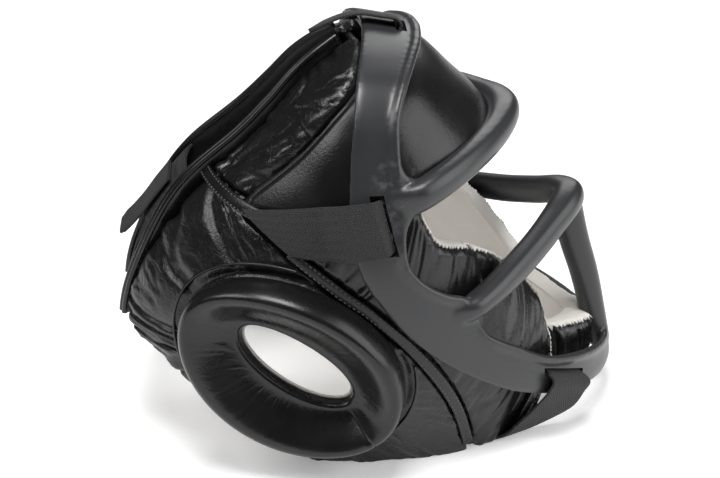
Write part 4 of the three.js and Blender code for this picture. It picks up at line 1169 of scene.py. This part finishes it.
def plate_shape():
    """Temple, cheek and chin plate: one sheet from side to side on the mask's form, thin at its edges."""
    u, v = grid(*PLATE_GRID)
    side = 1 - 2 * u
    angle, z = plate_places(1 - np.abs(side), v)
    half = MASK_THICK / 2 * (1 - to_edges(v, *PLATE_THIN)) + MASK_OVERLAP
    return wall(*(lifted(MASK, np.sign(side) * angle, z, way * half - set_back(angle, z))
                  for way in (1, -1)))


def plate_edge(t):
    """The line of the lip along the plate's front edge, and its normals, from temple to chin."""
    angle, z = plate_places(t, LIP_INSET)
    lift = LIP_LIFT * (1 - bell(angle / CHIN_SPREAD)) - set_back(angle, z)
    return lifted(MASK, angle, z, lift), form_normal(MASK, angle, z)


def plate_lip(from_t, to_t, grown_t):
    """A rounded lip along the plate's front edge, on both sides, that grows out of it over its start."""
    t = np.linspace(from_t, to_t, PLATE_LIP_STEPS)
    radius = LIP_RADIUS * mix(LIP_FADE, 1.0, step(t, from_t - 0.01, grown_t))
    lip = tube(*plate_edge(t), radius, LIP_SIDES)
    return [lip, mirrored(lip, -1)]


def arch_point(u, v):
    """The band over the head, from side to side and from its front edge to its rear edge."""
    side = 1 - 2 * u
    x, y, z = (between(ARCH, "front_" + axis, "rear_" + axis, 1 - np.abs(side), v) for axis in "xyz")
    return np.stack([x * np.sign(side), y, z], -1)


def arch_shape():
    """The band over the head: an even sheet, thinner at its edges."""
    u, v = grid(*ARCH_GRID)
    half = (MASK_THICK / 2 + MASK_OVERLAP) * (1 - to_edges(v, *ARCH_THIN))
    return wall(*both_faces(arch_point, u, v, half, ARCH_NEAR))


def arch_edge(u):
    """The line of the lip along the arch's front edge, and its normals, from side to side."""
    line = arch_point(u, LIP_INSET)
    out = unit(line - np.array(ARCH_CENTRE))
    return line + LIP_LIFT * out, out


def corner_web(first, second, reach):
    """A web that rounds the corner between two edges: a quadratic curve from one to the other,
    filled back to where they meet, with a round lip along the curve."""
    apart = np.linalg.norm(first[:, None] - second[None], axis=-1)
    i, j = np.unravel_index(apart.argmin(), apart.shape)
    corner = (first[i] + second[j]) / 2
    start, stop = (at_run(edge, arc(edge), length)
                   for edge, length in zip((first[i:], second[j:]), reach))
    s = np.linspace(0, 1, WEB_STEPS)[:, None]
    rim = (1 - s) ** 2 * start + 2 * s * (1 - s) * corner + s * s * stop
    normal = np.tile(unit(np.cross(start - corner, stop - corner)), (len(s), 1))
    deep = corner - WEB_ROOT * unit(start + stop - 2 * corner)
    fill = mix(rim[:, None], deep, np.linspace(0, WEB_FILL, WEB_ROWS)[None, :, None])
    half = MASK_THICK / 2 * normal[:, None]
    radius = LIP_RADIUS * mix(1.0, LIP_FADE, s[:, 0])
    return [wall(fill + half, fill - half), tube(rim, normal, radius, LIP_SIDES)]


def corner_webs():
    """The rounded corners of the windows between the arch, the plate and the two bars, on both sides."""
    plate = plate_edge(np.linspace(0, 1, EDGE_STEPS[0]))[0]
    arch = arch_edge(np.linspace(0, 0.5, EDGE_STEPS[1]))[0]
    webs = corner_web(arch, bar_edge("brow", 1), BROW_WEB)
    webs += corner_web(plate, bar_edge("brow", -1), TEMPLE_WEB)
    webs += corner_web(plate[::-1], bar_edge("nose", 1), CHEEK_WEB)
    return [mirrored(shape, side) for shape in webs for side, _ in SIDES]


def temple_slot():
    """The slanted slot for the temple strap, through the plate."""
    u, v = grid(3, 2)
    y, z = mix(*TEMPLE_SLOT["y"], u) + mix(*TEMPLE_SLOT_WIDE, v), mix(*TEMPLE_SLOT["z"], u)
    return wall(*(lifted(SHELL, angle_at(SHELL, y, z), z, lift) for lift in TEMPLE_SLOT_DEEP))


def jaw_slot():
    """The curved slot for the jaw strap, through the chin band, wider to the rear."""
    u, v = grid(3, 2)
    angle, z, low, high = (mix(*JAW_SLOT[key], u) for key in ("angle", "z", "low", "high"))
    return wall(*(lifted(MASK, angle, z + mix(low, high, v), lift) for lift in JAW_SLOT_DEEP))


def top_slot():
    """The slot for the top strap, straight down through the arch."""
    u, v = grid(2, 2)
    x, y = mix(*TOP_SLOT["x"], u), mix(*TOP_SLOT["y"], v)
    return wall(*(np.stack([x, y, z + 0 * u], -1) for z in TOP_SLOT["z"][::-1]))


def applied(made):
    """The object's mesh with its modifiers worked in."""
    bpy.context.view_layer.update()
    graph = bpy.context.evaluated_depsgraph_get()
    mesh = bpy.data.meshes.new_from_object(made.evaluated_get(graph))
    made.modifiers.clear()
    made.data = mesh


def face_mask():
    """Plate, arch, lips and bars grown together on a fine voxel grid and smoothed, then the slots cut."""
    sizes = bpy.context.scene.headgear_sizes
    shapes = [plate_shape(), arch_shape(), oval_sweep(*bar_frame("brow")), oval_sweep(*bar_frame("nose"))]
    shapes += [chin_bar(), tube(*arch_edge(np.linspace(*ARCH_LIP)), LIP_RADIUS, LIP_SIDES)]
    shapes += [lip for run in PLATE_LIPS for lip in plate_lip(*run)] + corner_webs()
    made = mesh_object("face_mask_moulding", joined(*shapes))
    remesh = made.modifiers.new("grow together", "REMESH")
    remesh.mode, remesh.voxel_size = "VOXEL", sizes.mask_voxel
    smooth = made.modifiers.new("soften", "SMOOTH")
    smooth.factor, smooth.iterations = SOFTEN_SHARE, sizes.mask_soften
    applied(made)
    slots = [top_slot()] + [mirrored(s, side) for s in (temple_slot(), jaw_slot()) for side, _ in SIDES]
    cutters = [mesh_object("slot", slot) for slot in slots]
    for cutter in cutters:
        cut = made.modifiers.new("slot", "BOOLEAN")
        cut.operation, cut.object, cut.solver = "DIFFERENCE", cutter, "EXACT"
    applied(made)
    for cutter in cutters:
        bpy.data.objects.remove(cutter)
    finished(made, "satin_plastic", ["face_mask"], MASK_CORNER)


# Straps

def temple_strap():
    """Out of the mask's slot, over the plate's rear edge and down onto the leather: steps of the lift."""
    u, v = grid(*TEMPLE_STRAP_GRID)
    y, z = between(TEMPLE_STRAP, "high_y", "low_y", u, v), between(TEMPLE_STRAP, "high_z", "low_z", u, v)
    off = mix(STRAP_OFF_HIGH, STRAP_OFF_LOW, v)
    lift = mix(STRAP_IN_SLOT, STRAP_ON_PLATE, step(u, *SLOT_OUT))
    lift = mix(lift, STRAP_ON_PAD, step(y, off, off + STRAP_STEP))
    thin = to_edges(v, *TEMPLE_STRAP_EDGE)
    angle = angle_at(SHELL, y, z)
    outer = lifted(SHELL, angle, z, lift + WEBBING_THICK - thin)
    return strap_wall(outer, lifted(SHELL, angle, z, lift + thin))


def jaw_strap_point(u, v):
    """The jaw strap's middle sheet, from the slot back and from its front edge to its rear edge."""
    return np.stack([between(JAW_STRAP, "front_" + axis, "rear_" + axis, u, v) for axis in "xyz"], -1)


def jaw_strap():
    """Out of the mask's lower slot, down and back under the front corner of the cheek pad."""
    u, v = grid(*JAW_STRAP_GRID)
    half = WEBBING_THICK / 2 - to_edges(v, *STRAP_EDGE)
    return strap_wall(*both_faces(jaw_strap_point, u, v, half, JAW_NEAR))


def loose_strap(points, count, across, width, end):
    """A strap along a smooth line, narrowing by a smooth step to a share of its width at its end."""
    middle = curve(points, count)
    across = np.tile(across, (count, 1))
    half = width / 2 * mix(1.0, end[0], step(np.linspace(0, 1, count), end[1], 1.0))
    return ribbon(middle, across, unit(np.cross(across, ahead(middle))), half, WEBBING_THICK)


def top_strap():
    """Out of the arch's slot and back over the slit, leaning to one side, to a pointed end."""
    lean = np.radians(TOP_STRAP_LEAN)
    across = [np.cos(lean), 0.0, -np.sin(lean)]
    return loose_strap(TOP_STRAP, TOP_STRAP_STEPS, across, TOP_STRAP_WIDTH, TOP_STRAP_END)


def back_tab():
    """A short tab out of the upper strap, its end turned up."""
    points = lifted(SHELL, 180, BACK_TAB["z"], BACK_TAB["lift"])
    return loose_strap(points, BACK_TAB_STEPS, [1.0, 0.0, 0.0], WEBBING_WIDTH, BACK_TAB_END)


def back_strap(low, high, lift):
    """A strap across the slit between the bound edges, on the leather's form."""
    u, v = grid(*BACK_STRAP_GRID)
    half = 180 - RIM_ANGLE - BINDING_ANGLE - BINDING_GAP
    angle, z = mix(180 - half, 180 + half, u), mix(low, high, v)
    thin = to_edges(v, *STRAP_EDGE)
    outer = lifted(SHELL, angle, z, lift - thin)
    return strap_wall(outer, lifted(SHELL, angle, z, lift - WEBBING_THICK + thin))


# The add-on

class HeadgearSizes(bpy.types.PropertyGroup):
    """Sizes that a user would change."""
    mask_voxel: bpy.props.FloatProperty(
        name="Mask detail", description="Grid on which the mask's plates and bars grow together",
        default=0.0011, unit="LENGTH")
    mask_soften: bpy.props.IntProperty(
        name="Mask softening", description="How often the mask's edges are smoothed", default=14, min=0)
    floor_size: bpy.props.FloatProperty(
        name="Floor", description="Side of the plain floor", default=8.0, unit="LENGTH")


class HeadgearFinishes(bpy.types.PropertyGroup):
    """Colours that a user would change."""
    leather: bpy.props.FloatVectorProperty(
        name="Leather", description="Black leather", subtype="COLOR",
        default=(0.0055, 0.0055, 0.006))
    leather_worn: bpy.props.FloatVectorProperty(
        name="Worn leather", description="Leather where it is rubbed", subtype="COLOR",
        default=(0.011, 0.011, 0.0115))
    suede: bpy.props.FloatVectorProperty(
        name="Suede", description="Pale lining", subtype="COLOR", default=(0.84, 0.81, 0.76))
    suede_shade: bpy.props.FloatVectorProperty(
        name="Suede shade", description="Lining where the nap lies down", subtype="COLOR",
        default=(0.72, 0.69, 0.645))
    plastic: bpy.props.FloatVectorProperty(
        name="Mask", description="Moulded plastic", subtype="COLOR",
        default=(0.023, 0.0236, 0.0256))
    plastic_scuff: bpy.props.FloatVectorProperty(
        name="Scuffs", description="Pale scuffs on the mask", subtype="COLOR",
        default=(0.13, 0.13, 0.133))
    webbing: bpy.props.FloatVectorProperty(
        # A darker copy of the webbing's colour for the straps at the back: painted shade.
        name="Webbing", description="Woven elastic", subtype="COLOR", default=(0.02, 0.02, 0.0213))
    webbing_shaded_copy: bpy.props.FloatVectorProperty(
        name="Back webbing", description="Elastic at the back, darker as painted shade", subtype="COLOR",
        default=(0.009, 0.009, 0.0096))
    # Painted shade in the valleys between the webbing's ribs.
    webbing_rib_shade: bpy.props.FloatVectorProperty(
        name="Webbing shade", description="Painted shade between the ribs", subtype="COLOR",
        default=(0.006, 0.006, 0.0065))
    thread: bpy.props.FloatVectorProperty(
        name="Thread", description="Stitching", subtype="COLOR", default=(0.055, 0.055, 0.057))
    floor: bpy.props.FloatVectorProperty(
        name="Floor", description="Plain pale floor", subtype="COLOR", default=(0.92, 0.92, 0.92))


class HEADGEAR_OT_forehead(bpy.types.Operator):
    """The smooth forehead pad and its lining"""
    bl_idname = "headgear.forehead"
    bl_label = "Forehead pad"

    def execute(self, context):
        dress("forehead_pad", pad("forehead"), "smooth_leather")
        dress("forehead_lining", lining("forehead"), "suede_lining")
        return {"FINISHED"}


class HEADGEAR_OT_crown(bpy.types.Operator):
    """The wrinkled crown panels, their linings and the strips in their seams"""
    bl_idname = "headgear.crown"
    bl_label = "Crown panels"

    def execute(self, context):
        for side, word in SIDES:
            dress(f"crown_panel_{word}", pad("crown", side), "creased_leather", side)
            dress(f"crown_lining_{word}", lining("crown"), "suede_lining", side)
            trim(f"crown_seam_{word}", crown_seam(), "smooth_leather", side)
        return {"FINISHED"}


class HEADGEAR_OT_ear_panels(bpy.types.Operator):
    """The wrinkled panels round the ears, and their linings"""
    bl_idname = "headgear.ear_panels"
    bl_label = "Ear panels"

    def execute(self, context):
        for side, word in SIDES:
            panel = ear_panel(SEEDS["ear"] + side)
            dress(f"ear_panel_{word}", panel, "creased_leather", side)
            dress(f"ear_lining_{word}", ear_lining(), "suede_lining", side)
        return {"FINISHED"}


class HEADGEAR_OT_cheeks(bpy.types.Operator):
    """The cheek pads, the chin pad and their linings"""
    bl_idname = "headgear.cheeks"
    bl_label = "Cheek and chin pads"

    def execute(self, context):
        for side, word in SIDES:
            dress(f"cheek_pad_{word}", pad("cheek", side), "gathered_leather", side)
            dress(f"cheek_lining_{word}", turned_lining("cheek", side), "suede_lining", side)
        dress("chin_pad", pad("chin"), "gathered_leather")
        dress("chin_lining", turned_lining("chin"), "suede_lining")
        return {"FINISHED"}


class HEADGEAR_OT_ear_rings(bpy.types.Operator):
    """The stuffed rings round the ear holes, and the welts outside them"""
    bl_idname = "headgear.ear_rings"
    bl_label = "Ear rings"

    def execute(self, context):
        for side, word in SIDES:
            ring = ear_ring(SEEDS["ring"] + side)
            dress(f"ear_ring_{word}", ring, "ring_leather", side)
            trim(f"ear_welt_{word}", ear_welt(), "smooth_leather", side)
        return {"FINISHED"}


class HEADGEAR_OT_bindings(bpy.types.Operator):
    """The bound edges along the back slit, with their stitching"""
    bl_idname = "headgear.bindings"
    bl_label = "Bound edges"

    def execute(self, context):
        z = np.linspace(RIM_TOP - RIM_STITCH_IN, RIM_BOTTOM + RIM_STITCH_IN, RIM_STITCH_STEPS)
        angle = binding_angles()[0]
        line, normal = lifted(SHELL, angle, z, groove_lift(z)), form_normal(SHELL, angle, z)
        for side, word in SIDES:
            dress(f"rim_binding_{word}", binding(), "smooth_leather", side)
            trim(f"rim_stitches_{word}", stitch_row(line, normal, "rim"), "waxed_thread", side)
        return {"FINISHED"}


class HEADGEAR_OT_seams(bpy.types.Operator):
    """The stitched strips over the seams of the leather"""
    bl_idname = "headgear.seams"
    bl_label = "Seam strips"

    def execute(self, context):
        seam_y, seam_z = CHEEK["seam_y"][1:] - SEAM_GAP / 2, CHEEK["seam_z"][1:] + SEAM_UP
        line, normal = side_line(seam_y, seam_z, STRIP_LIFT, SEAM_STEPS)
        above = line[:, 2] > SEAM_END
        bridge = side_line(BRIDGE["y"], BRIDGE["z"], STRIP_LIFT, BRIDGE_STEPS)
        strips = (("seam", line[above], normal[above], SEAM_HALF), ("bridge", *bridge, BRIDGE_HALF))
        for side, word in SIDES:
            for name, line, normal, half in strips:
                shape, across = strip_shape(line, normal, half, STRIP_THICK)
                trim(f"{name}_strip_{word}", shape, "smooth_leather", side)
                raised = line + normal * STITCH_LIFT
                rows = [stitch_row(raised + across * way * STITCH_APART * half, normal, "strip")
                        for way in (-1, 1)]
                trim(f"{name}_stitches_{word}", joined(*rows), "waxed_thread", side)
        return {"FINISHED"}


class HEADGEAR_OT_mask(bpy.types.Operator):
    """The moulded face mask"""
    bl_idname = "headgear.mask"
    bl_label = "Face mask"

    def execute(self, context):
        face_mask()
        return {"FINISHED"}


class HEADGEAR_OT_straps(bpy.types.Operator):
    """The woven straps that hold the mask and close the back"""
    bl_idname = "headgear.straps"
    bl_label = "Woven straps"

    def execute(self, context):
        for side, word in SIDES:
            dress(f"temple_strap_{word}", temple_strap(), "woven_webbing", side)
            dress(f"jaw_strap_{word}", jaw_strap(), "woven_webbing", side)
        dress("top_strap", top_strap(), "woven_webbing")
        # The straps and tab at the back take the darker copy of the webbing: painted shade.
        dress("upper_back_strap", back_strap(*UPPER_BACK), "back_webbing")
        dress("lower_back_strap", back_strap(*LOWER_BACK), "back_webbing")
        dress("back_tab", back_tab(), "back_webbing")
        return {"FINISHED"}


def aimed(name, data, place):
    """A lamp or camera at a place, turned towards the middle of the headgear."""
    made = bpy.data.objects.new(name, data)
    made.location = place
    made.rotation_euler = (Vector(TARGET) - Vector(place)).to_track_quat("-Z", "Y").to_euler()
    bpy.context.scene.collection.objects.link(made)
    return made


class HEADGEAR_OT_stage(bpy.types.Operator):
    """The pale floor, the soft lights and the camera"""
    bl_idname = "headgear.stage"
    bl_label = "Floor, lights and camera"

    def execute(self, context):
        scene = context.scene
        half = scene.headgear_sizes.floor_size / 2
        corners = [(-half, -half, 0), (half, -half, 0), (half, half, 0), (-half, half, 0)]
        mesh = bpy.data.meshes.new("floor")
        mesh.from_pydata(corners, [], [(0, 1, 2, 3)])
        finish("pale_floor", scene.headgear_finishes.floor, FLOOR_ROUGH, Specular_IOR_Level=0.0,
               Emission_Color=WHITE, Emission_Strength=FLOOR_GLOW)
        mesh.materials.append(bpy.data.materials["pale_floor"])
        floor = bpy.data.objects.new("floor", mesh)
        scene.collection.objects.link(floor)
        world = bpy.data.worlds.new("studio")
        world.use_nodes = True
        sky = world.node_tree.nodes["Background"].inputs
        sky["Color"].default_value, sky["Strength"].default_value = WHITE, SKY_STRENGTH
        scene.world = world
        for name, lamp in LAMPS.items():
            light = bpy.data.lights.new(name, "AREA")
            light.size, light.energy = lamp["size"], lamp["power"]
            aimed(name, light, lamp["place"])
        camera = bpy.data.cameras.new("camera")
        camera.lens, camera.sensor_width = LENS, SENSOR
        scene.camera = aimed("camera", camera, CAMERA_AT)
        scene.view_settings.view_transform = "Standard"
        return {"FINISHED"}


class HEADGEAR_PT_panel(bpy.types.Panel):
    """Lists the headgear's pieces and settings"""
    bl_idname = "HEADGEAR_PT_panel"
    bl_label = "Sparring headgear"
    bl_space_type = "VIEW_3D"
    bl_region_type = "UI"
    bl_category = "Headgear"

    def draw(self, context):
        for name in OPERATORS:
            self.layout.operator(name)
        for settings in (context.scene.headgear_sizes, context.scene.headgear_finishes):
            for key in settings.__annotations__:
                self.layout.prop(settings, key)


CLASSES = (
    HeadgearSizes, HeadgearFinishes, HEADGEAR_OT_stage, HEADGEAR_OT_forehead, HEADGEAR_OT_crown,
    HEADGEAR_OT_ear_panels, HEADGEAR_OT_cheeks, HEADGEAR_OT_ear_rings, HEADGEAR_OT_bindings,
    HEADGEAR_OT_seams, HEADGEAR_OT_mask, HEADGEAR_OT_straps, HEADGEAR_PT_panel,
)
OPERATORS = [c.bl_idname for c in CLASSES if issubclass(c, bpy.types.Operator)]


def register():
    """Registers the classes, and hangs the sizes and finishes on the scene."""
    for made in CLASSES:
        bpy.utils.register_class(made)
    bpy.types.Scene.headgear_sizes = bpy.props.PointerProperty(type=HeadgearSizes)
    bpy.types.Scene.headgear_finishes = bpy.props.PointerProperty(type=HeadgearFinishes)


def unregister():
    """Takes all of it away again."""
    del bpy.types.Scene.headgear_finishes
    del bpy.types.Scene.headgear_sizes
    for made in reversed(CLASSES):
        bpy.utils.unregister_class(made)


def main():
    """Builds the stage and the whole headgear in order."""
    register()
    for name in OPERATORS:
        place, call = name.split(".")
        getattr(getattr(bpy.ops, place), call)()


if __name__ == "__main__":
    main()
